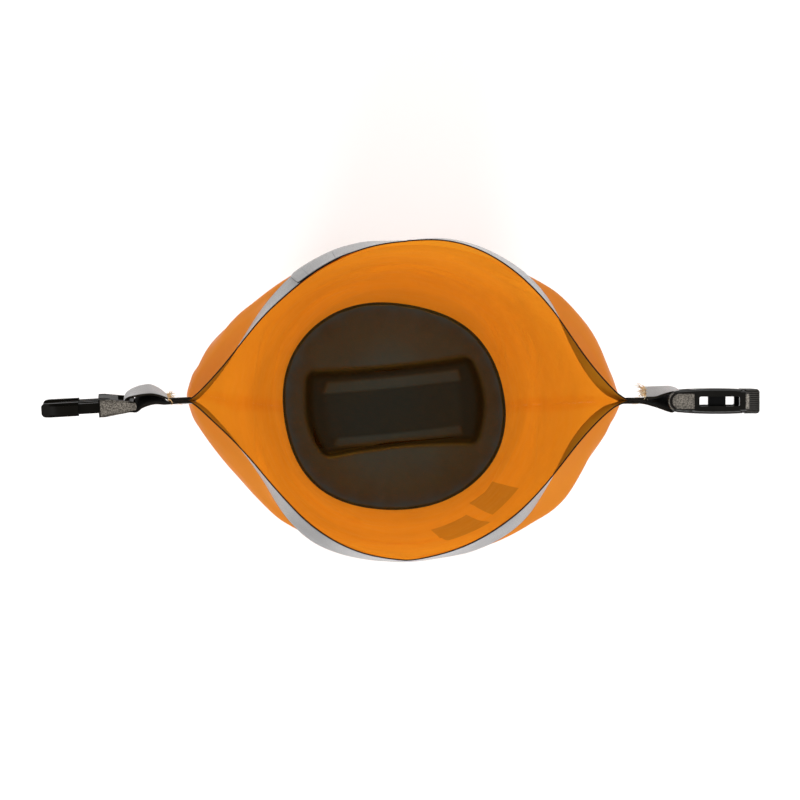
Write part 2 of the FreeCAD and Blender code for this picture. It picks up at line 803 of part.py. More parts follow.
def grip_panels(body, end_alias, half_alias, round_alias):
    """Shallow D-shaped panel on the outer side of both rails."""
    start, end, half = cell("grip_start"), cell(end_alias), cell(half_alias)
    round_half = cell(round_alias)
    bulge_x = start[0] + 0.75 * round_half[0]
    for name, sign in (("grip_upper", 1.0), ("grip_lower", -1.0)):
        level = (
            sign * (0.5 * size("buckle_width") - size("grip_depth")),
            "(Sizes.buckle_width / 2 - Sizes.grip_depth) * %s" % sign,
        )
        sketch = new_sketch(body, name + "_outline", "XY_Plane", level)
        turn = (bulge_x, "Sizes.grip_start + Sizes.%s * 0.75" % round_alias)
        closed_profile(
            sketch,
            [
                (end, half),
                (turn, round_half),
                (turn, negative(round_half)),
                (end, negative(half)),
            ],
            {1: (start[0], 0.0)},
        )
        extrude(
            body,
            "PartDesign::Pocket",
            name,
            sketch,
            cell("buckle_width", 0.5),
            backwards=sign > 0,
        )


def outer_side_edge(reach):
    """Picks the outline edges of both flat sides of a buckle half."""
    half = 0.5 * size("buckle_width")

    def wanted(edge):
        low, high = edge_heights(edge, "Z")
        if abs(low - high) > 0.01 or abs(abs(low) - half) > 0.01:
            return False
        box = edge.BoundBox
        return max(abs(box.YMin), abs(box.YMax)) > reach or box.XLength < 0.01

    return wanted


body = new_body("socket_body", socket_frame)
sketch = new_sketch(body, "socket_outline", "XY_Plane")
rail, neck = cell("socket_rail"), cell("socket_neck")
floor_half, collar = cell("collar_floor"), cell("collar_half")
start, mouth = cell("rail_start"), cell("socket_length")
groove_near, groove_far = cell("collar_start"), cell("collar_end")
collar_round = cell("collar_round")
upper = [
    (mouth, combined(collar, collar_round, -1)),
    (combined(mouth, collar_round, -1), collar),
    (groove_far, collar),
    (groove_far, floor_half),
    (groove_near, floor_half),
    (groove_near, neck),
    (start, rail),
]
lower = [(x_value, negative(y_value)) for x_value, y_value in reversed(upper)]
crown = (size("socket_crown_at"), size("socket_crown"))
slack = size("collar_round") * (1.0 - math.sqrt(0.5))
collar_bulge = (size("socket_length") - slack, size("collar_half") - slack)
closed_profile(
    sketch,
    upper + lower,
    {
        0: collar_bulge,
        5: crown,
        6: (size("rail_start") - size("socket_rail"), 0.0),
        7: (crown[0], -crown[1]),
        12: (collar_bulge[0], -collar_bulge[1]),
    },
)
extrude(body, "PartDesign::Pad", "socket_block", sketch, cell("buckle_width"), symmetric=True)
round_edges(body, "socket_sides", 1.6, outer_side_edge(4.0))
webbing_slot_and_bar(body)
sketch = new_sketch(body, "pocket_outline", "YZ_Plane", cell("pocket_start"))
rectangle(
    sketch,
    cell("pocket_height", -0.5),
    cell("pocket_height", 0.5),
    cell("pocket_half", -1.0),
    cell("pocket_half"),
)
extrude(
    body, "PartDesign::Pocket", "pocket", sketch, cell("socket_length"), backwards=True
)
sketch = new_sketch(body, "window_outline", "XY_Plane")
rectangle(
    sketch,
    cell("window_start"),
    cell("window_end"),
    cell("window_height", -0.5),
    cell("window_height", 0.5),
)
extrude(
    body, "PartDesign::Pocket", "windows", sketch, cell("buckle_width", 1.2), symmetric=True
)
round_edges(
    body,
    "window_corners",
    0.8,
    lambda edge: upright(edge)
    and edge.Vertexes[0].X > size("window_start") - 0.1
    and edge.Vertexes[0].X < size("window_end") + 0.1
    and abs(abs(edge.Vertexes[0].Y) - 0.5 * size("window_height")) < 0.05,
)
sketch = new_sketch(body, "pillar_outline", "XZ_Plane")
rectangle(
    sketch,
    cell("pillar_start"),
    cell("pillar_end"),
    cell("pillar_width", -0.5),
    cell("pillar_width", 0.5),
)
extrude(
    body,
    "PartDesign::Pad",
    "pillar",
    sketch,
    (size("pocket_height") + 1.0, "Sizes.pocket_height + 1"),
    symmetric=True,
)
grip_panels(body, "grip_end", "grip_half", "grip_half")

# ---------------------------------------------------------------- plug half

body = new_body("plug_frame", plug_frame)
sketch = new_sketch(body, "frame_outline", "XY_Plane")
half, rail_end = cell("plug_half"), cell("plug_rail_end")
taper, shoulder = cell("plug_taper"), cell("plug_shoulder")
upper = [(shoulder, half), (taper, half), (start, rail_end)]
lower = [(x_value, negative(y_value)) for x_value, y_value in reversed(upper)]
closed_profile(
    sketch, upper + lower, {2: (size("rail_start") - size("plug_rail_end"), 0.0)}
)
extrude(body, "PartDesign::Pad", "frame_block", sketch, cell("buckle_width"), symmetric=True)
round_edges(body, "frame_sides", 1.4, outer_side_edge(3.0))
webbing_slot_and_bar(body)
for name, sign in (("guide_upper", 1.0), ("guide_lower", -1.0)):
    sketch = new_sketch(body, name + "_outline", "XZ_Plane")
    inner_side, outer_side = cell("guide_inner", sign), cell("guide_outer", sign)
    tip = (size("guide_end") - 2.0, "Sizes.guide_end - 2")
    root = (size("plug_shoulder") - 2.0, "Sizes.plug_shoulder - 2")
    closed_profile(
        sketch,
        [
            (root, inner_side),
            (cell("guide_end"), inner_side),
            (tip, outer_side),
            (root, outer_side),
        ],
    )
    extrude(body, "PartDesign::Pad", name, sketch, cell("guide_height"), symmetric=True)

# Round seats for the roots of the two arms, open towards the arm.
seat_radius = (
    size("arm_root_radius") + size("arm_play"),
    "Sizes.arm_root_radius + Sizes.arm_play",
)
for name, sign in (("seat_upper", 1.0), ("seat_lower", -1.0)):
    sketch = new_sketch(body, name + "_outline", "XZ_Plane")
    circle(sketch, cell("arm_root_along"), cell("arm_root_across", sign), seat_radius)
    extrude(body, "PartDesign::Pocket", name, sketch, cell("buckle_width"), symmetric=True)
    sketch = new_sketch(body, name + "_way_outline", "XZ_Plane")
    root_along, root_across = size("arm_root_along"), size("arm_root_across")
    reach = size("plug_shoulder") + 0.5
    corners = []
    for x_pos, z_pos in (
        (root_along, root_across - 1.7),
        (reach, root_across - 2.9),
        (reach, root_across + 1.9),
        (root_along, root_across + 1.7),
    ):
        corners.append(
            (
                (x_pos, "Sizes.arm_root_along + %s" % (x_pos - root_along)),
                (
                    sign * z_pos,
                    "(Sizes.arm_root_across + %s) * %s" % (z_pos - root_across, sign),
                ),
            )
        )
    closed_profile(sketch, corners)
    extrude(
        body, "PartDesign::Pocket", name + "_way", sketch, cell("buckle_width"), symmetric=True
    )
grip_panels(body, "plug_grip_end", "plug_grip_half", "plug_grip_round")

# Two springy arms, one mirror of the other across the width.
for label, sign in (("plug_arm_upper", 1.0), ("plug_arm_lower", -1.0)):
    body = new_body(label, plug_frame)
    sketch = new_sketch(body, "root_outline", "XZ_Plane")
    circle(
        sketch,
        cell("arm_root_along"),
        cell("arm_root_across", sign),
        cell("arm_root_radius"),
    )
    extrude(body, "PartDesign::Pad", "root", sketch, cell("arm_stem_height"), symmetric=True)
    sketch = new_sketch(body, "stem_outline", "XZ_Plane")
    pad_start = cell("arm_pad_start")
    overlap = (size("arm_pad_start") + 1.0, "Sizes.arm_pad_start + 1")
    rectangle(
        sketch,
        cell("arm_root_along"),
        overlap,
        cell("arm_inner", sign),
        cell("arm_outer", sign),
    )
    extrude(body, "PartDesign::Pad", "stem", sketch, cell("arm_stem_height"), symmetric=True)
    sketch = new_sketch(body, "pad_outline", "XZ_Plane")
    tip_side = (size("arm_end") - 4.0, "Sizes.arm_end - 4")
    closed_profile(
        sketch,
        [
            (pad_start, cell("arm_pad_inner", sign)),
            (cell("arm_end"), cell("arm_pad_inner", sign)),
            (cell("arm_end"), cell("arm_inner", sign)),
            (tip_side, cell("arm_outer", sign)),
            (pad_start, cell("arm_outer", sign)),
        ],
    )
    extrude(body, "PartDesign::Pad", "pad", sketch, cell("arm_pad_height"), symmetric=True)
    sketch = new_sketch(body, "button_outline", "XZ_Plane")
    closed_profile(
        sketch,
        [
            (pad_start, cell("arm_inner", sign)),
            (tip_side, cell("arm_inner", sign)),
            (tip_side, cell("arm_outer", sign)),
            (pad_start, cell("arm_button_outer", sign)),
        ],
        {
            2: (
                0.5 * (size("arm_pad_start") + size("arm_end") - 4.0) + 2.0,
                sign * (size("arm_button_outer") - 0.7),
            )
        },
    )
    extrude(
        body, "PartDesign::Pad", "button", sketch, cell("arm_button_height"), symmetric=True
    )
    round_edges(
        body,
        "tip_edges",
        size("arm_tip_round"),
        lambda edge: upright(edge)
        and abs(edge.Vertexes[0].X - size("arm_end")) < 0.01
        and abs(abs(edge.Vertexes[0].Y) - 0.5 * size("arm_pad_height")) < 0.01,
    )

# ---------------------------------------------------------------- checks and files

doc.recompute()
for item in doc.Objects:
    if "Invalid" in item.State or "Error" in item.State:
        raise ValueError("%s did not rebuild: %s" % (item.Name, item.State))
labels = [node.Label for node in nodes]
if len(set(labels)) != len(labels):
    raise ValueError("two pieces share a name")
for node in nodes:
    if node.Shape.isNull() or not node.Shape.isValid():
        raise ValueError("%s has no valid shape" % node.Label)

os.makedirs("parts", exist_ok=True)
for node in nodes:
    node.Shape.exportStep("parts/%s.step" % node.Label)
    box = node.Shape.BoundBox
    print(
        "%-26s solids %d  volume %9.1f  x %7.1f %7.1f  y %7.1f %7.1f  z %6.1f %6.1f"
        % (
            node.Label,
            len(node.Shape.Solids),
            node.Shape.Volume,
            box.XMin,
            box.XMax,
            box.YMin,
            box.YMax,
            box.ZMin,
            box.ZMax,
        )
    )
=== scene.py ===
import math

import bpy
import numpy as np
from mathutils import Matrix, Vector, noise


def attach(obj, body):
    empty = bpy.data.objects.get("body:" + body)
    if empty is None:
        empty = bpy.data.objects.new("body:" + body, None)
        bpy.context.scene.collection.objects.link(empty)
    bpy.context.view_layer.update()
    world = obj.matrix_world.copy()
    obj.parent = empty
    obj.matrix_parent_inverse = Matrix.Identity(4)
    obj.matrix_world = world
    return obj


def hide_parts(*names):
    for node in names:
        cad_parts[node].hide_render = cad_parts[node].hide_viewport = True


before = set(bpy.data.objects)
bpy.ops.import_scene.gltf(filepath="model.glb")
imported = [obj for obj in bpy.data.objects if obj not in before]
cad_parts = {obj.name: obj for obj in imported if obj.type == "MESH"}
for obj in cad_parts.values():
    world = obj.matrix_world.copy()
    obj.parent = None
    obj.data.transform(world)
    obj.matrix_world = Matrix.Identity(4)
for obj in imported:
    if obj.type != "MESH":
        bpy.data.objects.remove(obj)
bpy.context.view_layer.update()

# All shapes are worked out in millimetres and turned into metres when a mesh is made.
MM = 0.001
HALF_WEBBING = 12.5
HEIGHT = 440.0  # ground to the top edge of the mouth
STRIP_FOOT = HEIGHT - 2.0 * HALF_WEBBING
PITCH = math.radians(12.5)  # upward slope of both buckle halves
PLUG_ROLL = math.radians(-7.0)
PLUG_SWING = math.radians(3.5)
SOCKET_ROLL = math.radians(2.0)
TAB_REACH = 122.2  # middle of the mouth to the fold line of a tab
TAB_LEVEL = HEIGHT - HALF_WEBBING
PLUG_TAB = 28.5  # fold line to the bar of each buckle half
SOCKET_TAB = 25.1
BASE_TURN = math.radians(5.6)
BASE_EDGE = 15.0  # height of the turned-up edge of the base
TUBE_RADIUS = 100.0
MOUTH_END = 119.0  # middle of the mouth to its narrow ends
WALL_GAP = 0.42  # film to the middle of the mouth webbing
STRIP_HALF = 0.30  # half the thickness of the mouth webbing
THREAD_INSET = 2.6  # edge of the mouth webbing to its rows of thread
INNER_SHIFT = 100.0  # added to V on the inner face of every strap


# ---------------------------------------------------------------- materials


class Nodes:
    """Short way to build one procedural material."""

    def __init__(self, name):
        self.material = bpy.data.materials.new(name)
        self.material.use_nodes = True
        self.tree = self.material.node_tree
        self.tree.nodes.clear()
        self.output = self.add("ShaderNodeOutputMaterial")

    def add(self, kind, **settings):
        node = self.tree.nodes.new(kind)
        for key, value in settings.items():
            setattr(node, key, value)
        return node

    def link(self, source, target):
        self.tree.links.new(source, target)

    def coords(self, kind="Object"):
        return self.add("ShaderNodeTexCoord").outputs[kind]

    def value(self, socket, value):
        """Set a socket to a number, or link it to another node's output."""
        if hasattr(value, "links"):
            self.link(value, socket)
        else:
            socket.default_value = value

    def math(self, operation, first, second=0.0):
        node = self.add("ShaderNodeMath", operation=operation)
        self.value(node.inputs[0], first)
        self.value(node.inputs[1], second)
        return node.outputs[0]

    def plus(self, first, second):
        return self.math("ADD", first, second)

    def minus(self, first, second):
        return self.math("SUBTRACT", first, second)

    def times(self, first, second):
        return self.math("MULTIPLY", first, second)

    def over(self, first, second):
        return self.math("DIVIDE", first, second)

    def larger(self, first, second):
        return self.math("MAXIMUM", first, second)

    def absolute(self, first):
        return self.math("ABSOLUTE", first)

    def sine(self, first):
        return self.math("SINE", first)

    def noise(self, vector, scale, detail=3.0, roughness=0.5):
        node = self.add("ShaderNodeTexNoise")
        self.link(vector, node.inputs["Vector"])
        node.inputs["Scale"].default_value = scale
        node.inputs["Detail"].default_value = detail
        node.inputs["Roughness"].default_value = roughness
        return node.outputs["Fac"]

    def ramp(self, factor, stops):
        node = self.add("ShaderNodeValToRGB")
        self.link(factor, node.inputs[0])
        elements = node.color_ramp.elements
        while len(elements) < len(stops):
            elements.new(0.5)
        for element, (position, colour) in zip(elements, stops):
            element.position = position
            element.color = (*colour, 1.0)
        return node.outputs[0]

    def spread(self, factor, low, high, to_low=0.0, to_high=1.0):
        """Map low to high onto another range, held at both ends."""
        node = self.add("ShaderNodeMapRange")
        self.link(factor, node.inputs["Value"])
        for key, number in (
            ("From Min", low),
            ("From Max", high),
            ("To Min", to_low),
            ("To Max", to_high),
        ):
            node.inputs[key].default_value = number
        return node.outputs["Result"]

    def blend(self, factor, first, second):
        node = self.add("ShaderNodeMix", data_type="RGBA", blend_type="MIX")
        self.value(node.inputs["Factor"], factor)
        for socket, colour in ((node.inputs[6], first), (node.inputs[7], second)):
            if hasattr(colour, "links"):
                self.link(colour, socket)
            else:
                socket.default_value = (*colour, 1.0)
        return node.outputs[2]

    def bump(self, height, strength, distance):
        node = self.add("ShaderNodeBump")
        node.inputs["Strength"].default_value = strength
        node.inputs["Distance"].default_value = distance
        self.link(height, node.inputs["Height"])
        return node.outputs[0]

    def surface(self, roughness):
        node = self.add("ShaderNodeBsdfPrincipled")
        self.value(node.inputs["Roughness"], roughness)
        return node

    def mix_shader(self, factor, first, second):
        node = self.add("ShaderNodeMixShader")
        self.value(node.inputs[0], factor)
        self.link(first, node.inputs[1])
        self.link(second, node.inputs[2])
        return node.outputs[0]

    def done(self, shader):
        self.link(shader, self.output.inputs["Surface"])
        return self.material


def film_material():
    """Translucent orange film with soft cloudiness and two printed blocks."""
    n = Nodes("film_orange")
    place = n.coords()
    cloud = n.noise(place, 14.0, 4.0, 0.55)
    streak = n.noise(place, 55.0, 2.0, 0.5)
    patch = n.spread(n.noise(place, 8.5, 1.5, 0.4), 0.46, 0.56)
    uv = n.add("ShaderNodeSeparateXYZ")
    n.link(n.coords("UV"), uv.inputs[0])
    angle, level = uv.outputs[0], uv.outputs[1]

    def block(centre_angle, half_angle, centre_level, half_level, slant):
        """One printed block, from the angle and height that the panel's UV holds."""
        lean = n.times(n.minus(level, centre_level), slant)
        across = n.minus(n.minus(angle, centre_angle), lean)
        across = n.over(n.absolute(across), half_angle)
        along = n.absolute(n.minus(level, centre_level))
        along = n.over(along, half_level)
        edge = n.larger(across, along)
        return n.spread(edge, 0.96, 1.0, 1.0, 0.0)

    ink = n.larger(block(0.3745, 0.021, 0.43, 0.17, 0.01), block(0.318, 0.024, 0.53, 0.13, 0.03))
    ink_amount = n.times(ink, 0.46)
    paler = n.times(patch, 0.15)
    body = n.ramp(cloud, [(0.32, (0.66, 0.300, 0.016)), (0.68, (0.74, 0.350, 0.022))])
    body = n.blend(paler, body, (0.30, 0.090, 0.006))
    body = n.blend(ink_amount, body, (0.14, 0.045, 0.006))
    glow = n.ramp(cloud, [(0.32, (0.72, 0.180, 0.008)), (0.68, (0.79, 0.212, 0.011))])
    glow = n.blend(paler, glow, (0.34, 0.080, 0.004))
    glow = n.blend(ink_amount, glow, (0.12, 0.036, 0.003))
    grain = n.noise(place, 1300.0, 2.0)
    ripple = n.plus(cloud, n.times(streak, 0.25))
    ripple = n.plus(ripple, n.times(grain, 0.06))
    normal = n.bump(ripple, 0.25, 0.0012)
    rough = n.spread(streak, 0.3, 0.7, 0.30, 0.42)
    front = n.surface(rough)
    n.link(body, front.inputs["Base Color"])
    n.link(normal, front.inputs["Normal"])
    front.inputs["Specular IOR Level"].default_value = 0.32
    through = n.add("ShaderNodeBsdfTranslucent")
    n.link(glow, through.inputs["Color"])
    n.link(normal, through.inputs["Normal"])
    clear = n.add("ShaderNodeBsdfTransparent")
    clear.inputs["Color"].default_value = (1.0, 0.50, 0.030, 1.0)
    sheet = n.mix_shader(0.47, front.outputs[0], through.outputs[0])
    return n.done(n.mix_shader(0.12, sheet, clear.outputs[0]))


def tape_material():
    """Nearly clear welded tape."""
    n = Nodes("seam_tape_clear")
    cloud = n.noise(n.coords(), 90.0, 3.0)
    front = n.surface(n.spread(cloud, 0.3, 0.7, 0.22, 0.34))
    tint = n.ramp(cloud, [(0.3, (0.80, 0.26, 0.014)), (0.7, (0.86, 0.30, 0.020))])
    n.link(tint, front.inputs["Base Color"])
    n.link(n.bump(cloud, 0.3, 0.0004), front.inputs["Normal"])
    clear = n.add("ShaderNodeBsdfTransparent")
    clear.inputs["Color"].default_value = (1.0, 0.93, 0.80, 1.0)
    return n.done(n.mix_shader(0.93, front.outputs[0], clear.outputs[0]))


def base_material():
    """Dark coated film, tinted blue inside as painted light; the tone mark paints shade over the
    pressed areas and a highlight on the two bars.
    """
    n = Nodes("base_dark")
    place = n.coords()
    tone_and_painted_light = n.add("ShaderNodeAttribute", attribute_name="tone_and_painted_light").outputs["Fac"]
    inside = n.add("ShaderNodeAttribute", attribute_name="inside").outputs["Fac"]
    cloud = n.noise(place, 30.0, 4.0)
    grain = n.noise(place, 1500.0, 2.0)
    outer = n.ramp(cloud, [(0.3, (0.030, 0.0270, 0.0240)), (0.7, (0.038, 0.0345, 0.0310))])
    # Painted light: the inner face is tinted blue so that, under the orange light inside the bag, it
    # looks as if white light also fell on it.
    inner = n.ramp(cloud, [(0.3, (0.015, 0.0620, 0.1900)), (0.7, (0.019, 0.0740, 0.2200))])
    plain = n.blend(inside, outer, inner)
    # Painted shade: a low tone blends toward near black and also lowers the specular level.
    colour = n.blend(tone_and_painted_light, (0.0060, 0.0020, 0.0), plain)
    shell = n.surface(n.spread(cloud, 0.3, 0.7, 0.21, 0.26))
    n.link(colour, shell.inputs["Base Color"])
    n.link(n.spread(tone_and_painted_light, 0.35, 1.0, 0.18, 0.84), shell.inputs["Specular IOR Level"])
    bumps = n.plus(n.times(grain, 0.3), cloud)
    n.link(n.bump(bumps, 0.35, 0.0004), shell.inputs["Normal"])
    return n.done(shell.outputs[0])


def webbing_material(name, dark, light, gloss, sheen):
    """Tightly woven flat webbing: ribs across, fine picks along, from the strip's UV.

    The inner face of a strip has its V moved up by INNER_SHIFT; like the narrow edges, it is painted
    near black with little sheen as painted shade.
    """
    n = Nodes(name)
    uv = n.add("ShaderNodeSeparateXYZ")
    n.link(n.coords("UV"), uv.inputs[0])
    inner = n.spread(uv.outputs[1], 0.5 * INNER_SHIFT - 1.0, 0.5 * INNER_SHIFT + 1.0)
    width = n.minus(uv.outputs[1], n.times(inner, INNER_SHIFT))
    along = n.times(uv.outputs[0], 2.0 * math.pi / 1.15)
    across = n.times(width, 2.0 * math.pi / 1.5)
    rib = n.sine(n.plus(along, n.times(n.sine(across), 1.3)))
    pick = n.absolute(n.sine(across))
    weave = n.plus(n.times(rib, 0.5), n.times(pick, 0.5))
    fuzz = n.noise(n.coords(), 900.0, 3.0, 0.6)
    cloud = n.noise(n.coords(), 60.0, 3.0)
    mixed = n.plus(n.times(weave, 0.35), fuzz)
    # Painted shade: the narrow edges and the inner face are coloured near black and lose most of their
    # sheen and specular.
    edge = n.larger(n.spread(n.absolute(width), 11.75, 12.0), n.times(inner, 0.9))
    face = n.minus(1.0, edge)
    colour = n.ramp(n.spread(mixed, 0.1, 1.2), [(0.0, dark), (1.0, light)])
    colour = n.blend(edge, colour, (0.010, 0.008, 0.006))
    cloth = n.surface(n.plus(n.spread(cloud, 0.3, 0.7, gloss, gloss + 0.1), n.times(edge, 0.4)))
    n.link(colour, cloth.inputs["Base Color"])
    n.link(n.plus(n.times(face, 0.6), 0.04), cloth.inputs["Specular IOR Level"])
    n.link(n.times(face, sheen), cloth.inputs["Sheen Weight"])
    cloth.inputs["Sheen Roughness"].default_value = 0.35
    cloth.inputs["Sheen Tint"].default_value = (0.78, 0.76, 0.76, 1.0)
    n.link(n.bump(mixed, 0.3, 0.00025), cloth.inputs["Normal"])
    return n.done(cloth.outputs[0])


def thread_material(name, first, second, sheen):
    """Twisted sewing thread."""
    n = Nodes(name)
    place = n.coords()
    tint = n.noise(place, 260.0, 2.0)
    twist = n.noise(place, 3000.0, 1.0)
    yarn = n.surface(0.75)
    n.link(n.ramp(tint, [(0.35, first), (0.65, second)]), yarn.inputs["Base Color"])
    yarn.inputs["Sheen Weight"].default_value = sheen
    yarn.inputs["Sheen Roughness"].default_value = 0.35
    n.link(n.bump(twist, 0.5, 0.0002), yarn.inputs["Normal"])
    return n.done(yarn.outputs[0])


def buckle_material(name, tab, grip_end, grip_half, rib_start, matt_share):
    """Glossy moulded plastic; the D-shaped panels are spark-textured, the end is ribbed, with a painted
    highlight band where the collar starts.

    local holds X, Y and Z in the frame of the buckle half, in millimetres.
    """
    n = Nodes(name)
    place = n.coords()
    shift = n.add("ShaderNodeVectorMath", operation="SUBTRACT")
    n.link(place, shift.inputs[0])
    shift.inputs[1].default_value = [value * MM for value in tab.half_base]
    local = []
    for axis in range(3):
        dot = n.add("ShaderNodeVectorMath", operation="DOT_PRODUCT")
        n.link(shift.outputs[0], dot.inputs[0])
        dot.inputs[1].default_value = [float(tab.half_turn[row][axis]) / MM for row in range(3)]
        local.append(dot.outputs["Value"])
    reach = n.absolute(local[2])
    on_side = n.spread(reach, 16.2, 16.4)
    inside = n.spread(reach, 16.75, 16.85, 1.0, 0.0)
    ahead = n.spread(local[0], grip_end - 0.1, grip_end + 0.1, 1.0, 0.0)
    level = n.spread(n.absolute(local[1]), grip_half, grip_half + 0.2, 1.0, 0.0)
    panel = n.times(n.times(on_side, inside), n.times(ahead, level))
    spark = n.noise(place, 1500.0, 3.0, 0.7)
    cloud = n.noise(place, 120.0, 3.0)
    speck = n.ramp(spark, [(0.42, (0.045, 0.040, 0.033)), (0.62, (0.200, 0.178, 0.150))])
    plain = n.ramp(cloud, [(0.3, (0.0030, 0.0026, 0.0018)), (0.7, (0.0050, 0.0043, 0.0032))])
    collar = n.spread(local[0], rib_start - 0.2, rib_start + 0.2)
    groove = n.sine(n.times(local[1], 2.0 * math.pi / 1.1))
    groove = n.times(n.spread(groove, -0.2, 0.9), collar)
    plain = n.blend(n.times(groove, 0.5), plain, (0.040, 0.035, 0.028))
    # Painted highlight: a pale speckled band across the start of the collar stands in for a glint off
    # its edge.
    painted_glint = n.times(collar, n.spread(local[0], rib_start + 1.3, rib_start + 1.9, 1.0, 0.0))
    painted_glint = n.times(painted_glint, n.spread(n.absolute(local[1]), 3.4, 4.2, 1.0, 0.0))
    plain = n.blend(n.times(painted_glint, n.spread(spark, 0.35, 0.6)), plain, (0.30, 0.27, 0.23))
    shell = n.surface(n.plus(n.spread(cloud, 0.3, 0.7, 0.13, 0.20), n.times(panel, 0.45)))
    n.link(n.blend(panel, plain, speck), shell.inputs["Base Color"])
    fine = n.noise(place, 2600.0, 2.0)
    rough_height = n.times(spark, n.plus(panel, 0.02))
    height = n.plus(rough_height, n.times(fine, 0.03))
    height = n.plus(height, n.times(groove, 0.4))
    shell.inputs["Specular IOR Level"].default_value = 0.40
    n.link(n.bump(height, 0.8, 0.0004), shell.inputs["Normal"])
    matt = n.add("ShaderNodeBsdfDiffuse")
    n.link(n.blend(panel, plain, speck), matt.inputs["Color"])
    return n.done(n.mix_shader(matt_share, shell.outputs[0], matt.outputs[0]))


# ---------------------------------------------------------------- mesh tools


def new_mesh(name, points, faces, material, body, uv=None, marks=None):
    """Smooth mesh object from millimetre points; uv and marks hold one entry for each point."""
    mesh = bpy.data.meshes.new(name)
    mesh.from_pydata([tuple(p) for p in np.asarray(points, float) * MM], [], faces)
    mesh.validate()
    if uv is not None:
        layer = mesh.uv_layers.new(name="UVMap")
        index = np.empty(len(mesh.loops), int)
        mesh.loops.foreach_get("vertex_index", index)
        layer.data.foreach_set("uv", np.asarray(uv, float)[index].ravel())
    for mark, values in (marks or {}).items():
        attribute = mesh.attributes.new(mark, "FLOAT", "POINT")
        attribute.data.foreach_set("value", np.asarray(values, np.float32))
    mesh.polygons.foreach_set("use_smooth", [True] * len(mesh.polygons))
    mesh.materials.append(material)
    mesh.update()
    piece = bpy.data.objects.new(name, mesh)
    bpy.context.scene.collection.objects.link(piece)
    if body is not None:
        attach(piece, body)
    return piece


def grid_faces(rows, columns, closed=False, start=0):
    """Quads of a grid of points; closed joins the last column to the first."""
    faces = []
    across = columns if closed else columns - 1
    for row in range(rows - 1):
        for column in range(across):
            after = (column + 1) % columns
            near, far = start + row * columns, start + (row + 1) * columns
            faces.append((near + column, near + after, far + after, far + column))
    return faces


def sweep_faces(rows, columns):
    """Sides and both end caps of a closed outline swept over rows."""
    faces = grid_faces(rows, columns, closed=True)
    faces.append(tuple(reversed(range(columns))))
    faces.append(tuple(range((rows - 1) * columns, rows * columns)))
    return faces


class Soup:
    """Gathers several small shapes into one mesh."""

    def __init__(self):
        self.points = []
        self.faces = []
        self.uv = []

    def add(self, points, faces, uv=None):
        start = len(self.points)
        self.points += [tuple(p) for p in points]
        self.faces += [tuple(start + i for i in face) for face in faces]
        self.uv += [tuple(pair) for pair in (uv if uv is not None else [(0.0, 0.0)] * len(points))]

    def make(self, name, material, body):
        return new_mesh(name, self.points, self.faces, material, body, self.uv)


def rounded_section(half_thick, half_width, radius):
    """Outline of a strap's cross-section as (thickness, width) pairs."""
    corner_steps = 4
    widest_step = 2.5
    points = []
    for centre_t, centre_w, first in (
        (half_thick - radius, half_width - radius, 0.0),
        (radius - half_thick, half_width - radius, 90.0),
        (radius - half_thick, radius - half_width, 180.0),
        (half_thick - radius, radius - half_width, 270.0),
    ):
        for step in range(corner_steps):
            turn = math.radians(first + 90.0 * step / (corner_steps - 1))
            points.append((centre_t + radius * math.cos(turn), centre_w + radius * math.sin(turn)))
    filled = []
    count = len(points)
    for index, point in enumerate(points):
        after = points[(index + 1) % count]
        filled.append(point)
        gap = math.dist(point, after)
        extra = int(gap // widest_step)
        for step in range(1, extra + 1):
            part = step / (extra + 1.0)
            filled.append(tuple(point[k] + (after[k] - point[k]) * part for k in (0, 1)))
    return filled


def strap_points(centres, normals, widths, section, end_taper=None, outer=1.0):
    """Points, faces and UV (mm) of a strap swept along centres.

    outer is 1 where the strap's outer face is on the side of its normals, otherwise -1.
    """
    centres = np.asarray(centres, float)
    rows, columns = len(centres), len(section)
    steps = np.linalg.norm(np.diff(centres, axis=0), axis=1)
    along = np.concatenate([[0.0], np.cumsum(steps)])
    points, uv = [], []
    for row in range(rows):
        scale = 1.0 if end_taper is None else end_taper[row]
        for thick, width in section:
            points.append(centres[row] + normals[row] * thick + widths[row] * width * scale)
            uv.append((along[row], width * scale + (0.0 if thick * outer > 0.0 else INNER_SHIFT)))
    return points, sweep_faces(rows, columns), uv


def stitch(soup, centre, along, normal, length, width, lift):
    """One thread stitch lying on a surface."""
    side = np.cross(normal, along)
    rows, columns = 6, 8
    flatness = 0.42
    points = []
    for row in range(rows):
        part = -1.0 + 2.0 * row / (rows - 1.0)
        bulge = math.sqrt(max(1.0 - abs(part) ** 2.6, 0.03))
        height = lift * (1.0 - 0.9 * abs(part) ** 3)
        for column in range(columns):
            turn = 2.0 * math.pi * column / columns
            points.append(
                centre
                + along * (0.5 * length * part)
                + side * (0.5 * width * bulge * math.cos(turn))
                + normal * (height + flatness * width * bulge * math.sin(turn))
            )
    soup.add(points, sweep_faces(rows, columns))


def tube(soup, line, radius_start, radius_end):
    """Thin fibre along a line of points."""
    line = np.asarray(line, float)
    rows, columns = len(line), 5
    points = []
    for row in range(rows):
        ahead = line[min(row + 1, rows - 1)] - line[max(row - 1, 0)]
        ahead /= np.linalg.norm(ahead)
        side = np.cross(ahead, [0.31, 0.17, 0.93])
        side /= np.linalg.norm(side)
        up = np.cross(side, ahead)
        radius = radius_start + (radius_end - radius_start) * row / (rows - 1.0)
        for column in range(columns):
            turn = 2.0 * math.pi * column / columns
            points.append(line[row] + radius * (side * math.cos(turn) + up * math.sin(turn)))
    soup.add(points, sweep_faces(rows, columns))


# ---------------------------------------------------------------- the wall of the bag

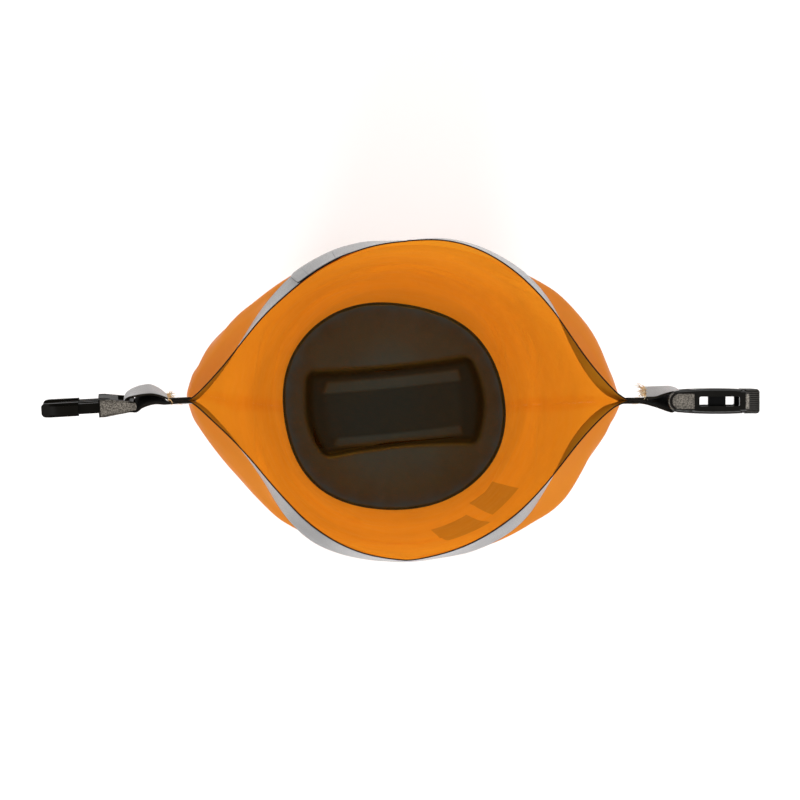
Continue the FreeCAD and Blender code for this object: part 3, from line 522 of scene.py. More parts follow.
# Height, half depth, and for the left and the right side: half width, power of the
# outline and sharpness of the side (0.5 is an ellipse, above 1 is a pinched lens).
KEYS = (
    (0.0, 99.6, (99.6, 2.00, 0.50), (99.6, 2.00, 0.50)),
    (16.0, 99.8, (99.8, 2.00, 0.50), (99.8, 2.00, 0.50)),
    (60.0, 99.8, (100.2, 2.00, 0.50), (100.2, 2.00, 0.50)),
    (150.0, 99.4, (100.6, 2.00, 0.50), (100.6, 2.00, 0.50)),
    (240.0, 98.0, (102.5, 2.00, 0.50), (102.5, 2.00, 0.50)),
    (310.0, 95.0, (107.5, 2.00, 0.50), (107.0, 2.00, 0.50)),
    (355.0, 91.5, (114.5, 2.00, 0.54), (113.0, 2.00, 0.53)),
    (385.0, 89.9, (121.5, 2.00, 0.61), (118.8, 2.05, 0.60)),
    (402.0, 89.3, (125.3, 2.00, 0.69), (122.0, 2.20, 0.68)),
    (409.0, 88.0, (123.6, 2.10, 0.82), (120.9, 2.30, 0.86)),
    (STRIP_FOOT, 85.8, (119.0, 2.75, 1.48), (118.9, 2.75, 1.48)),
    (HEIGHT, 85.6, (118.5, 2.80, 1.50), (118.5, 2.80, 1.50)),
)

# Along each quarter of the mouth: distance from its middle, how far the rim stands out
# from the even outline, and how far the foot of the webbing leans out from the rim.
QUARTERS = {
    "back_left": (
        (0, 0.0, 3.6), (12, -1.2, 4.6), (26, -3.0, 7.6), (38, -4.6, 8.6), (50, -5.1, 9.4),
        (60, -5.0, 10.2), (70, -4.3, 8.8), (80, -2.6, 6.2), (90, -2.1, 3.6), (100, -1.5, 1.9),
        (110, 0.0, 0.4), (119, 0.0, 0.0),
    ),
    "back_right": (
        (0, 0.0, 3.6), (12, 1.0, 4.2), (24, 1.0, 5.0), (38, 0.3, 5.9), (50, -0.3, 6.8),
        (62, -0.6, 7.7), (70, -0.8, 7.4), (78, -0.9, 6.0), (88, -1.9, 2.6), (98, -2.3, -0.1),
        (108, -1.0, -2.0), (119, 0.0, 0.0),
    ),
    "front_left": (
        (0, 0.0, 3.6), (12, -1.2, 4.4), (26, -2.7, 6.0), (38, -4.2, 8.2), (50, -5.4, 10.4),
        (60, -5.9, 10.0), (70, -6.6, 8.6), (80, -6.3, 4.6), (90, -5.9, 3.2), (100, -3.4, 1.3),
        (109, -0.4, -0.5), (119, 0.0, 0.0),
    ),
    "front_right": (
        (0, 0.0, 3.6), (10, -1.8, 4.4), (20, -3.5, 5.2), (30, -5.1, 7.1), (42, -6.5, 8.9),
        (54, -7.2, 10.2), (66, -6.8, 9.2), (76, -6.6, 5.8), (86, -6.3, 3.2), (96, -5.9, -0.4),
        (107, -3.6, -1.8), (119, 0.0, 0.0),
    ),
}

# Below the webbing the wall bellies out unevenly: for each quarter, distance from the
# middle and how far the wall stands out there.
EAR_END = 130.0
EARS = {
    "back_left": (
        (0, 0.0), (88, 0.0), (96, 1.6), (107, 2.3), (113, 2.6), (118, 3.0), (122, 4.4),
        (126, 3.6),
    ),
    "back_right": (
        (0, 0.0), (62, 0.0), (76, 2.0), (87, 4.0), (98, 4.0), (106, 2.4), (112, 0.6), (118, -2.4),
        (126, -2.0),
    ),
    "front_left": (
        (0, 0.0), (74, 0.0), (84, -2.9), (95, -6.6), (107, -7.2), (113, -6.0), (118, -4.2),
        (122, -3.8), (126, -3.6),
    ),
    "front_right": (
        (0, 0.0), (72, 0.0), (84, 2.0), (92, 1.8), (99, -1.5), (107, -5.6), (112, -6.2),
        (117, -3.6), (126, -2.0),
    ),
}


def smooth_step(value, low, high):
    """0 below low, 1 above high, with a smooth rise between."""
    part = np.clip((value - low) / (high - low), 0.0, 1.0)
    return part * part * (3.0 - 2.0 * part)


def eased(knots, column, reach, end=MOUTH_END, half=14):
    """Smooth line through the knots of a quarter, blurred over half quarter-millimetres."""
    places = np.array([knot[0] for knot in knots], float)
    values = np.array([knot[column] for knot in knots], float)
    fine = np.linspace(0.0, end, int(4 * end) + 1)
    line = np.interp(fine, places, values)
    for _ in range(3):
        padded = np.pad(line, half, mode="edge")
        line = np.convolve(padded, np.ones(2 * half + 1) / (2 * half + 1.0), mode="valid")
    return np.interp(reach, fine, line)


def along_quarters(theta, x_pos, column):
    """Values of a column of the quarters at every spot of an outline."""
    reach = np.abs(x_pos)
    sides = []
    for side in ("back", "front"):
        left = eased(QUARTERS[side + "_left"], column, reach)
        right = eased(QUARTERS[side + "_right"], column, reach)
        sides.append(np.where(x_pos < 0.0, left, right))
    return np.where(theta >= 0.0, *sides)


def key_outline(key, theta):
    """Outline of the wall at a key height, for rising angles from one seam to the other."""
    height, half_depth, left, right = key
    cosine = np.cos(theta)
    shapes = []
    for half_width, power, sharp in (left, right):
        depth = half_depth * np.maximum(1.0 - np.abs(cosine) ** power, 0.0) ** sharp
        shapes.append((half_width * cosine, depth))
    x_pos = np.where(cosine < 0.0, shapes[0][0], shapes[1][0])
    depth = np.where(cosine < 0.0, shapes[0][1], shapes[1][1])
    y_pos = np.where(theta >= 0.0, depth, -depth)
    lobes = (
        3.85 * np.cos(2.0 * theta + math.radians(21.0))
        + 1.15 * np.cos(3.0 * theta + math.radians(7.0))
        + 1.50 * np.cos(4.0 * theta + math.radians(168.0))
        + 0.45 * np.cos(6.0 * theta + math.radians(101.0))
    )
    lumpy = 1.0 - smooth_step(height, 10.0, 180.0)
    x_pos = x_pos + lumpy * lobes * cosine
    y_pos = y_pos + lumpy * lobes * np.sin(theta)
    rim_part = float(smooth_step(height, 402.0, STRIP_FOOT))
    if rim_part > 0.0:
        normal_x, normal_y = outline_normals(x_pos, y_pos)
        move = along_quarters(theta, x_pos, 1) * rim_part
        if height == STRIP_FOOT:
            move = move + along_quarters(theta, x_pos, 2)
        move = move * smooth_step(MOUTH_END - np.abs(x_pos), 0.0, 7.0)
        x_pos = x_pos + normal_x * move
        y_pos = y_pos + normal_y * move
        y_pos = np.where(theta >= 0.0, np.maximum(y_pos, 0.0), np.minimum(y_pos, 0.0))
    ear_part = smooth_step(height, 320.0, 375.0) * (1.0 - smooth_step(height, 407.0, STRIP_FOOT))
    if ear_part > 0.0:
        # The left seam moves with both halves, so that they stay joined there.
        reach = np.abs(x_pos)
        away = smooth_step(np.abs(y_pos), 0.0, 12.0)
        for hand, chosen in (("_left", x_pos < 0.0), ("_right", x_pos >= 0.0)):
            back_move = eased(EARS["back" + hand], 1, reach, EAR_END, 9)
            front_move = -eased(EARS["front" + hand], 1, reach, EAR_END, 9)
            seam_move = 0.5 * (back_move + front_move) if hand == "_left" else 0.0
            move = seam_move + away * (np.where(theta >= 0.0, back_move, front_move) - seam_move)
            y_pos = y_pos + np.where(chosen, move * ear_part, 0.0)
    return x_pos, y_pos


def outline_normals(x_pos, y_pos):
    """Outward horizontal normals along an outline given for rising theta."""
    tangent_x = np.gradient(x_pos)
    tangent_y = np.gradient(y_pos)
    length = np.hypot(tangent_x, tangent_y) + 1e-9
    return tangent_y / length, -tangent_x / length


KEY_Z = np.array([key[0] for key in KEYS])
PANEL_COLUMNS = 241


def half_theta(back):
    """Angles of one panel, from one side seam to the other, closer near the seams."""
    even = np.linspace(0.0, np.pi, PANEL_COLUMNS)
    bunched = np.pi * (0.5 - 0.5 * np.cos(even))
    angles = 0.55 * even + 0.45 * bunched
    return angles if back else -angles[::-1]


def panel_keys(back):
    """Angles of one panel and its outlines at all key heights."""
    theta = half_theta(back)
    guard = theta.copy()
    if not back:
        guard[-1] = -1e-9
    table = [key_outline(key, guard) for key in KEYS]
    return theta, np.array([row[0] for row in table]), np.array([row[1] for row in table])


def monotone_slopes(values):
    """Slopes through the key heights that never overshoot."""
    steps = np.diff(KEY_Z)[:, None]
    rises = np.diff(values, axis=0) / steps
    slopes = np.zeros_like(values)
    slopes[0], slopes[-1] = rises[0], rises[-1]
    same = rises[:-1] * rises[1:] > 0
    with np.errstate(divide="ignore", invalid="ignore"):
        mean = 2.0 * rises[:-1] * rises[1:] / (rises[:-1] + rises[1:])
    slopes[1:-1] = np.where(same, mean, 0.0)
    return slopes


def at_height(values, slopes, height):
    """Values at a height: a smooth curve through the keys, straight in the webbing."""
    index = int(np.clip(np.searchsorted(KEY_Z, height) - 1, 0, len(KEY_Z) - 2))
    span = KEY_Z[index + 1] - KEY_Z[index]
    part = (height - KEY_Z[index]) / span
    if KEY_Z[index] == STRIP_FOOT:
        return values[index] + (values[index + 1] - values[index]) * part
    return (
        (2 * part**3 - 3 * part**2 + 1) * values[index]
        + (part**3 - 2 * part**2 + part) * span * slopes[index]
        + (3 * part**2 - 2 * part**3) * values[index + 1]
        + (part**3 - part**2) * span * slopes[index + 1]
    )


class Panel:
    """One half of the film tube, as a surface over angle and height."""

    def __init__(self, back):
        self.back = back
        self.theta, self.x_keys, self.y_keys = panel_keys(back)
        self.x_slopes = monotone_slopes(self.x_keys)
        self.y_slopes = monotone_slopes(self.y_keys)

    def row(self, height):
        """Outline and outward normals at a height."""
        x_pos = at_height(self.x_keys, self.x_slopes, height)
        y_pos = at_height(self.y_keys, self.y_slopes, height)
        normal_x, normal_y = outline_normals(x_pos, y_pos)
        return x_pos, y_pos, normal_x, normal_y

    def place(self, angle, height, distance):
        """Point at a distance outside the wall, and the outward normal."""
        x_pos, y_pos, normal_x, normal_y = self.row(height)
        values = [np.interp(angle, self.theta, item) for item in (x_pos, y_pos, normal_x, normal_y)]
        normal = np.array([values[2], values[3], 0.0])
        normal /= np.linalg.norm(normal)
        return np.array([values[0], values[1], height]) + normal * distance, normal


# Creases: angle and height of both ends (degrees, mm), depth and half width (mm).
CREASES = (
    (12, 404, 38, 330, 1.7, 6.0),
    (20, 406, 62, 352, 1.4, 7.0),
    (-11, 404, -34, 322, 1.6, 6.0),
    (-18, 406, -58, 366, 1.2, 7.0),
    (168, 404, 146, 336, 1.6, 6.0),
    (161, 406, 120, 360, 1.2, 7.0),
    (-168, 404, -140, 318, 1.7, 6.5),
    (-160, 406, -118, 368, 1.2, 6.5),
    (58, 250, 118, 232, 1.1, 9.0),
    (72, 210, 128, 268, 0.9, 8.0),
    (98, 150, 150, 205, 0.9, 8.0),
    (-64, 236, -122, 262, 1.0, 9.0),
    (-96, 120, -150, 176, 1.1, 8.0),
    (-128, 60, -104, 140, 0.9, 6.0),
    (134, 50, 112, 128, 0.9, 6.0),
    (18, 60, 44, 150, 1.0, 7.0),
    (-22, 70, -48, 130, 0.9, 7.0),
    (176, 120, 150, 180, 0.9, 7.0),
    (8, 196, 30, 262, 1.0, 7.0),
    (-8, 210, -34, 292, 1.1, 7.0),
    (-172, 236, -146, 300, 1.0, 7.0),
    (172, 250, 148, 296, 0.9, 7.0),
)


def wrinkles(theta, height, x_pos, y_pos):
    """Outward movement of the film at a height, for every angle."""
    quiet = smooth_step(height, 4.0, 40.0) * (1.0 - smooth_step(height, 398.0, 412.0))
    degree_arc = 1.75  # wall length in one degree
    move = np.zeros_like(theta)
    for index in range(len(theta)):
        spot = Vector((x_pos[index], y_pos[index], height * 0.75))
        move[index] = 1.5 * noise.noise(spot / 62.0)
        move[index] += 0.25 * noise.noise(spot / 24.0 + Vector((7, 3, 1)))
    arc = np.degrees(theta) * degree_arc
    for first, first_z, last, last_z, depth, width in CREASES:
        start = np.array([first * degree_arc, first_z], float)
        run = np.array([last * degree_arc, last_z], float) - start
        length = np.hypot(*run)
        part = ((arc - start[0]) * run[0] + (height - start[1]) * run[1]) / length**2
        away = (arc - start[0]) * run[1] - (height - start[1]) * run[0]
        away = away / length + 5.0 * np.sin(np.clip(part, 0.0, 1.0) * math.pi)
        fade = smooth_step(part, -0.08, 0.25) * (1.0 - smooth_step(part, 0.7, 1.1))
        ridge = np.exp(-((away / width) ** 2)) - 0.8 * np.exp(-(((away - 1.4 * width) / width) ** 2))
        move += depth * ridge * fade
    puckers = 0.5 * np.sin(theta * 43.0 + 1.3 * np.sin(theta * 5.0))
    move += puckers * (1.0 - smooth_step(height, 12.0, 70.0))
    fold = np.exp(-((np.abs(np.sin(theta)) * TUBE_RADIUS / 4.5) ** 2))
    move += 0.6 * fold * smooth_step(height, 10.0, 60.0) * (1.0 - smooth_step(height, 330.0, 385.0))
    edge = 0.35 + 0.65 * quiet
    move = move * np.where(height < 40.0, edge, quiet)
    # Over the turned-up edge of the base the film can only stand off outward.
    low = 1.0 - smooth_step(height, BASE_EDGE, 40.0)
    return move * (1.0 - low) + np.maximum(move, 0.0) * low


def build_film(panel, name):
    """One panel of film with its wrinkles; UV holds the angle and height as parts."""
    heights = np.concatenate(
        [
            np.linspace(0.2, 24.0, 12)[:-1],
            np.linspace(24.0, 370.0, 116)[:-1],
            np.linspace(370.0, STRIP_FOOT, 36)[:-1],
            np.linspace(STRIP_FOOT, HEIGHT - 0.4, 10),
        ]
    )
    points, uv = [], []
    for height in heights:
        x_pos, y_pos, normal_x, normal_y = panel.row(height)
        move = wrinkles(panel.theta, height, x_pos, y_pos)
        x_pos = x_pos + normal_x * move
        y_pos = y_pos + normal_y * move
        points.append(np.stack([x_pos, y_pos, np.full_like(x_pos, height)], 1))
        level = np.full_like(x_pos, height / HEIGHT)
        uv.append(np.stack([panel.theta / (2 * math.pi) + 0.5, level], 1))
    faces = grid_faces(len(heights), len(panel.theta))
    return new_mesh(name, np.concatenate(points), faces, FILM, "bag", np.concatenate(uv))


# ---------------------------------------------------------------- build: film

FILM = film_material()
TAPE = tape_material()
BASE = base_material()
WEBBING = webbing_material("webbing_charcoal", (0.010, 0.0095, 0.009), (0.034, 0.033, 0.032), 0.32, 0.9)
STRAP = webbing_material("strap_black", (0.008, 0.008, 0.008), (0.030, 0.029, 0.028), 0.55, 0.3)
DARK_THREAD = thread_material("thread_dark", (0.045, 0.043, 0.042), (0.080, 0.077, 0.075), 0.9)
BRIGHT_THREAD = thread_material("thread_orange", (0.66, 0.34, 0.10), (0.84, 0.68, 0.44), 0.3)

back_panel, front_panel = Panel(True), Panel(False)
film_back = build_film(back_panel, "film_back")
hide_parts("film_panel_back")
film_front = build_film(front_panel, "film_front")
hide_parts("film_panel_front")


wrinkle_rows = {}


def wrinkle_row(panel, height):
    """Wrinkles of a panel at a height, worked out once."""
    key = (panel.back, round(float(height), 3))
    if key not in wrinkle_rows:
        x_row, y_row, _, _ = panel.row(height)
        wrinkle_rows[key] = wrinkles(panel.theta, height, x_row, y_row)
    return wrinkle_rows[key]


def build_side_tape(name, node, centre):
    """Welded tape over one side seam, with slightly wavy edges."""
    heights = np.linspace(1.0, 391.0, 150)
    offsets = np.linspace(-5.2, 5.2, 9)
    points, uv = [], []
    for height in heights:
        for offset in offsets:
            wave = 0.25 * math.sin(height * 0.21 + offset) + 0.15 * math.sin(height * 0.53)
            turn = (offset + wave * (abs(offset) > 5.0)) / TUBE_RADIUS
            if centre > 1.0:
                angle = math.pi - abs(turn) if turn > 0 else -math.pi + abs(turn)
            else:
                angle = turn
            panel = back_panel if angle >= 0 else front_panel
            move = np.interp(angle, panel.theta, wrinkle_row(panel, height))
            edge = 0.35 if abs(offset) > 5.0 else 0.62
            spot, normal = panel.place(angle, height, float(move) + edge)
            points.append(spot)
            uv.append((offset, height))
    piece = new_mesh(name, points, grid_faces(len(heights), len(offsets)), TAPE, "bag", uv)
    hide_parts(node)


build_side_tape("side_tape_right", "side_seam_right", 0.0)
build_side_tape("side_tape_left", "side_seam_left", math.pi)

# ---------------------------------------------------------------- build: mouth webbing

SECTION = rounded_section(STRIP_HALF, HALF_WEBBING, 0.22)
SEAM_ANGLE = 0.012  # the runs of webbing end this far from the side seams


def mouth_strip(panel, start, end, raised=None, round_end=None, lowered=None):
    """Webbing round part of the mouth: it follows the wall's lean at every angle.

    raised gives the extra distance from the wall at an angle, lowered the drop of the top
    edge. round_end is the length over which the corners of the cut end are rounded.
    """
    angles = np.linspace(start, end, 260)
    centres, normals, widths, travels = [], [], [], []
    travel = 0.0
    for angle in angles:
        lift = WALL_GAP + (raised(angle) if raised else 0.0)
        top_level = HEIGHT - 0.1 - (lowered(angle) if lowered else 0.0)
        top, normal_top = panel.place(angle, top_level, lift)
        foot, normal_foot = panel.place(angle, STRIP_FOOT + 0.1, lift)
        width = top - foot
        width /= np.linalg.norm(width)
        normal = normal_top + normal_foot
        normal -= width * normal.dot(width)
        normal /= np.linalg.norm(normal)
        centres.append(0.5 * (top + foot) + np.array([0, 0, 0.25]))
        normals.append(normal)
        widths.append(width)
        if len(centres) > 1:
            travel += np.linalg.norm(centres[-1] - centres[-2])
        travels.append(travel)
    scale = []
    for travelled in travels:
        left = travel - travelled
        if round_end and left < round_end:
            past = (round_end - left) / round_end
            corner = round_end * math.sqrt(max(1.0 - past**2, 0.0))
            scale.append((HALF_WEBBING - round_end + corner) / HALF_WEBBING)
        else:
            scale.append(1.0)
    return strap_points(centres, normals, widths, SECTION, scale)


def theta_at(panel, x_target):
    """Angle where the rim of a panel has a given X."""
    x_row = panel.row(HEIGHT)[0]
    order = np.argsort(x_row)
    return float(np.interp(x_target, x_row[order], panel.theta[order]))


LAP_OVER = theta_at(back_panel, -58.8)
LAP_UNDER = theta_at(back_panel, -36.0)
LAP_ROUND = 3.0  # corner radius of the two cut ends


def lap_rise(angle):
    """The end that laps over stands off by a little more than one thickness of webbing."""
    return 0.64 * float(smooth_step(abs(angle), LAP_UNDER - 0.09, LAP_UNDER + 0.02))


def lap_drop(angle):
    """The covered end of the webbing sits a little lower than the end over it."""
    return 2.0 * (1.0 - float(smooth_step(abs(angle), LAP_OVER - 0.12, LAP_OVER + 0.02)))


def build_mouth_run(name, *strip):
    """Piece made from one run of the mouth webbing."""
    points, faces, uv = mouth_strip(*strip)
    return new_mesh(name, points, faces, WEBBING, "bag", uv)


front_run = (front_panel, -SEAM_ANGLE, SEAM_ANGLE - math.pi)
front_strip = build_mouth_run("mouth_webbing_front_run", *front_run)
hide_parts("mouth_webbing_front")
over_run = (back_panel, SEAM_ANGLE, LAP_OVER, lap_rise, LAP_ROUND)
over_strip = build_mouth_run("mouth_webbing_over_end", *over_run)
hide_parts("mouth_webbing_back_over")
under_run = (back_panel, math.pi - SEAM_ANGLE, LAP_UNDER, None, LAP_ROUND, lap_drop)
under_strip = build_mouth_run("mouth_webbing_under_end", *under_run)
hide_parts("mouth_webbing_back_under")


def rim_stitches(soup, panel, start, end, height, raised=None):
    """Row of stitches along the webbing at one height."""
    pitch, look_ahead = 3.4, 0.004
    angle = start
    direction = 1.0 if end > start else -1.0
    while (end - angle) * direction > 0:
        lift = WALL_GAP + STRIP_HALF + (raised(angle) if raised else 0.0)
        spot, normal = panel.place(angle, height, lift)
        ahead, _ = panel.place(angle + look_ahead * direction, height, lift)
        along = ahead - spot
        step = float(np.linalg.norm(along)) / look_ahead
        along /= np.linalg.norm(along)
        stitch(soup, spot, along, normal, 2.4, 0.36, -0.08)
        angle += direction * pitch / step


soup = Soup()
for level in (STRIP_FOOT + THREAD_INSET, HEIGHT - THREAD_INSET):
    rim_stitches(soup, front_panel, -0.10, -math.pi + 0.10, level)
    rim_stitches(soup, back_panel, 0.10, LAP_OVER - 0.05, level, lap_rise)
    rim_stitches(soup, back_panel, LAP_OVER + 0.03, math.pi - 0.10, level)
piece = soup.make("mouth_thread", DARK_THREAD, "bag")
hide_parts("mouth_stitching")

soup = Soup()
for angle in (LAP_OVER - 0.055, LAP_OVER - 0.20):
    for level in np.arange(STRIP_FOOT + 5.0, HEIGHT - 4.0, 2.6):
        spot, normal = back_panel.place(angle, level, WALL_GAP + STRIP_HALF + lap_rise(angle))
        stitch(soup, spot, np.array([0.0, 0.0, 1.0]), normal, 2.0, 0.36, -0.08)
piece = soup.make("lap_thread", DARK_THREAD, "bag")
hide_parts("lap_stitching")

# ---------------------------------------------------------------- build: base


def rise(value, low, high):
    """Smooth step of one number."""
    part = min(max((value - low) / (high - low), 0.0), 1.0)
    return part * part * (3.0 - 2.0 * part)


def bar_mark(turned_x, turned_y, middle, half, low, high):
    """One of the two bars pressed into the middle of the base; the tone lifts them lighter as a painted
    highlight.
    """
    bow = 1.2 * (turned_x / 62.0) ** 2
    across = 1.0 - rise(abs(turned_y - middle - bow), half - 2.2, half + 1.6)
    skew = 0.5 * (middle - turned_y)
    along = rise(turned_x + skew, low - 2.0, low + 3.5)
    along *= 1.0 - rise(turned_x - 0.3 * skew, high - 2.5, high + 1.5)
    return across * along


def base_shape(x_pos, y_pos):
    """Height and tone of the base floor at a spot, in the turned frame of its middle; the tone is
    painted shade and highlight.
    """
    turned_x = x_pos * math.cos(BASE_TURN) + y_pos * math.sin(BASE_TURN)
    turned_y = -x_pos * math.sin(BASE_TURN) + y_pos * math.cos(BASE_TURN)
    slope = min(abs(turned_y) / 42.0, 1.3) ** 2
    if turned_x > 0.0:
        long_side = 85.0 - 10.5 * slope
    else:
        long_side = 81.0 - (5.0 if turned_y > 0.0 else 14.5) * slope
    flare = min(abs(turned_x) / 76.0, 1.2) ** 2
    wide_side = 38.0 + (2.8 if turned_y > 0.0 else 5.2) * flare
    corner = 8.0
    inner_x = abs(turned_x) - (long_side - corner)
    inner_y = abs(turned_y) - (wide_side - corner)
    outside = math.hypot(max(inner_x, 0.0), max(inner_y, 0.0))
    distance = outside + min(max(inner_x, inner_y), 0.0) - corner
    raised = rise(-distance, -1.5, 5.5)
    upper = bar_mark(turned_x, turned_y, 22.0, 5.6, -62.0, 64.5)
    lower = bar_mark(turned_x, turned_y, -28.6, 4.5, -57.0, 61.5)
    centre = rise(turned_y, -26.0, -20.5) * (1.0 - rise(turned_y, 14.0, 19.0))
    centre *= rise(turned_x, -66.0, -56.0) * (1.0 - rise(turned_x, 58.0, 66.0))
    border = rise(-distance, 0.0, 3.5) * (1.0 - rise(-distance, 4.5, 9.0))
    height = 0.9 + 2.5 * raised + 0.22 * (upper + lower) - 0.3 * border
    # Painted shade: the tone drops over the pressed outline, further in the groove along its border and
    # over the centre; the bars are lifted lighter as a painted highlight.
    tone_and_painted_light = 1.0 - 0.58 * rise(-distance, -1.5, 2.5)
    tone_and_painted_light -= 0.14 * border
    tone_and_painted_light += (0.86 - tone_and_painted_light) * upper
    tone_and_painted_light += (0.80 - tone_and_painted_light) * lower
    tone_and_painted_light += (0.50 - tone_and_painted_light) * centre * (1.0 - upper) * (1.0 - lower)
    return height, tone_and_painted_light


def build_base():
    """Floor with its pressed middle, and the edge turned up inside the wall."""
    segments = 288
    angles = np.linspace(-math.pi, math.pi, segments, endpoint=False)
    levels = (1.9, 3.0, 5.0, 7.5, 10.0, 12.5, 14.6)
    rings = []
    for angle in angles:
        panel = back_panel if angle >= 0 else front_panel
        rings.append([panel.place(angle, level, -0.85)[0] for level in levels])
    rings = np.array(rings)
    middle_height, middle_tone_and_painted_light = base_shape(0.0, 0.0)
    points, tone_and_painted_light = [(0.0, 0.0, middle_height)], [middle_tone_and_painted_light]
    parts = np.linspace(0.0, 0.992, 92)[1:]
    for part in parts:
        for column in range(segments):
            x_pos, y_pos = rings[column, 0, :2] * part
            height, shade = base_shape(x_pos, y_pos)
            swell = 0.4 * noise.noise(Vector((x_pos / 38.0, y_pos / 38.0, 0.4)))
            swell -= 0.4 * noise.noise(Vector((0.0, 0.0, 0.4)))
            ripple = 0.25 * math.sin(column * 2 * math.pi / segments * 23.0) * part**10
            cove = 0.7 * part**30
            points.append((x_pos, y_pos, max(height + swell + ripple + cove, 0.75)))
            tone_and_painted_light.append(shade)
    for level in range(len(levels)):
        for column in range(segments):
            points.append(tuple(rings[column, level]))
            tone_and_painted_light.append(1.0)
    count = len(points)
    rows = len(parts) + len(levels)
    faces = [(0, 1 + column, 1 + (column + 1) % segments) for column in range(segments)]
    faces += [tuple(reversed(face)) for face in grid_faces(rows, segments, closed=True, start=1)]
    inner = np.array(points)
    outer = inner.copy()
    floor_count = 1 + len(parts) * segments
    outer[:floor_count, 2] -= 0.7
    reach = np.hypot(outer[floor_count:, 0], outer[floor_count:, 1])[:, None]
    outer[floor_count:, :2] *= (reach + 0.55) / reach
    outer[floor_count : floor_count + segments, 2] = 0.25
    faces += [tuple(count + i for i in reversed(face)) for face in faces]
    last = count - segments
    for column in range(segments):
        after = (column + 1) % segments
        faces.append((last + after, last + column, count + last + column, count + last + after))
    marks = {"tone_and_painted_light": tone_and_painted_light + [1.0] * count, "inside": [1.0] * count + [0.0] * count}
    piece = new_mesh("base_shell", np.concatenate([inner, outer]), faces, BASE, "bag", marks=marks)
    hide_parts("base_cup")


build_base()


def turned(points):
    """Points turned with the middle of the base."""
    cosine, sine = math.cos(BASE_TURN), math.sin(BASE_TURN)
    x_pos, y_pos, height = np.asarray(points, float).T
    return np.stack([x_pos * cosine - y_pos * sine, x_pos * sine + y_pos * cosine, height], 1)


def build_patch():
    """Thin patch with round corners and a pressed weld line near its edge."""
    half_x, half_y, power = 75.0, 34.0, 0.22
    columns = 160
    outline = []
    for step in range(columns):
        turn = 2.0 * math.pi * step / columns
        cosine, sine = math.cos(turn), math.sin(turn)
        x_pos = half_x * math.copysign(abs(cosine) ** power, cosine)
        y_pos = half_y * math.copysign(abs(sine) ** power, sine)
        outline.append((x_pos, y_pos))
    outline = np.array(outline)
    profile = (
        (0.0, 2.55), (0.5, 2.52), (0.90, 2.5), (0.925, 2.66), (0.95, 2.68),
        (0.97, 2.5), (0.992, 2.48), (1.0, 2.6), (1.0, 2.95), (0.99, 3.05),
    )
    points = [(0.0, 0.0, profile[0][1])]
    for part, level in profile[1:]:
        for x_pos, y_pos in outline:
            points.append((x_pos * part, y_pos * part, level))
    faces = [(0, 1 + (c + 1) % columns, 1 + c) for c in range(columns)]
    faces += [tuple(reversed(face)) for face in grid_faces(len(profile) - 1, columns, True, 1)]
    last = 1 + (len(profile) - 2) * columns
    faces.append(tuple(last + c for c in range(columns)))
    marks = {"tone_and_painted_light": [0.6] * len(points), "inside": [0.0] * len(points)}
    piece = new_mesh("base_patch_plate", turned(points), faces, BASE, "bag", marks=marks)
    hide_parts("base_patch")


build_patch()


def build_strap():
    """Flat carry strap, sewn at both ends, bowed a little between them."""
    xs = np.linspace(-62.5, 62.5, 70)
    section = rounded_section(0.62, 19.8, 0.45)
    centres, normals, widths = [], [], []
    for x_pos in xs:
        drop = 0.28 * (1.0 - (x_pos / 46.0) ** 2) if abs(x_pos) < 46.0 else 0.0
        centres.append((x_pos, 0.12 * math.sin(x_pos * 0.13), 1.66 - drop))
        normals.append(np.array([0.0, 0.0, -1.0]))
        widths.append(np.array([0.0, 1.0, 0.0]))
    points, faces, uv = strap_points(centres, normals, widths, section)
    piece = new_mesh("base_carry_strap", turned(points), faces, STRAP, "bag", uv)
    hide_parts("base_strap")
    soup = Soup()
    down = np.array([0.0, 0.0, -1.0])
    for side in (-1.0, 1.0):
        near, far = 46.5 * side, 58.5 * side
        lines = (
            ((near, -17.0), (near, 17.0)),
            ((far, -17.0), (far, 17.0)),
            ((near, -17.0), (far, -17.0)),
            ((near, 17.0), (far, 17.0)),
            ((near, -17.0), (far, 17.0)),
            ((near, 17.0), (far, -17.0)),
        )
        for first, last in lines:
            first, last = np.array([*first, 1.02]), np.array([*last, 1.02])
            length = np.linalg.norm(last - first)
            count = int(length // 2.8)
            ahead = (last - first) / length
            for step in range(count):
                spot = first + ahead * (step + 0.5) * length / count
                centre = turned([spot])[0]
                direction = turned([ahead])[0]
                stitch(soup, centre, direction, down, 2.2, 0.6, 0.05)
    piece = soup.make("base_strap_thread", DARK_THREAD, "bag")
    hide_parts("base_strap_stitching")


build_strap()

# ---------------------------------------------------------------- build: tabs


def turn_matrix(axis, angle):
    """Rotation about a main axis as an array."""
    return np.array(Matrix.Rotation(angle, 3, axis))


class Tab:
    """Local frame of a webbing tab: X outward, Y across its thickness, Z its width.

    half_base and half_turn give the bar and the turn of the buckle half it holds.
    """

    def __init__(self, side, length, roll):
        spin = turn_matrix("Z", 0.0 if side > 0 else math.pi + PLUG_SWING)
        self.turn = spin @ turn_matrix("Y", -PITCH)
        self.base = np.array([side * TAB_REACH, 0.0, TAB_LEVEL])
        self.half_turn = self.turn @ turn_matrix("X", roll)
        self.half_base = self.base + self.turn @ np.array([length, 0.0, 0.0])

    def world(self, x_pos, y_pos, across, roll):
        """Local point; the root is upright and the pitch comes in over its length."""
        local = np.array([0.0, y_pos, 0.0]) + turn_matrix("X", roll) @ np.array([0.0, 0.0, across])
        upright = 1.0 - float(smooth_step(x_pos, -1.0, 9.0))
        lean = turn_matrix("Y", PITCH * upright)
        flat = lean @ np.array([0.0, local[1], local[2]]) + np.array([x_pos, 0.0, 0.0])
        return self.base + self.turn @ flat


def relax(points, rounds):
    """Smooth a path; both ends stay."""
    points = np.array(points, float)
    for _ in range(rounds):
        points[1:-1] = 0.25 * points[:-2] + 0.5 * points[1:-1] + 0.25 * points[2:]
    return points


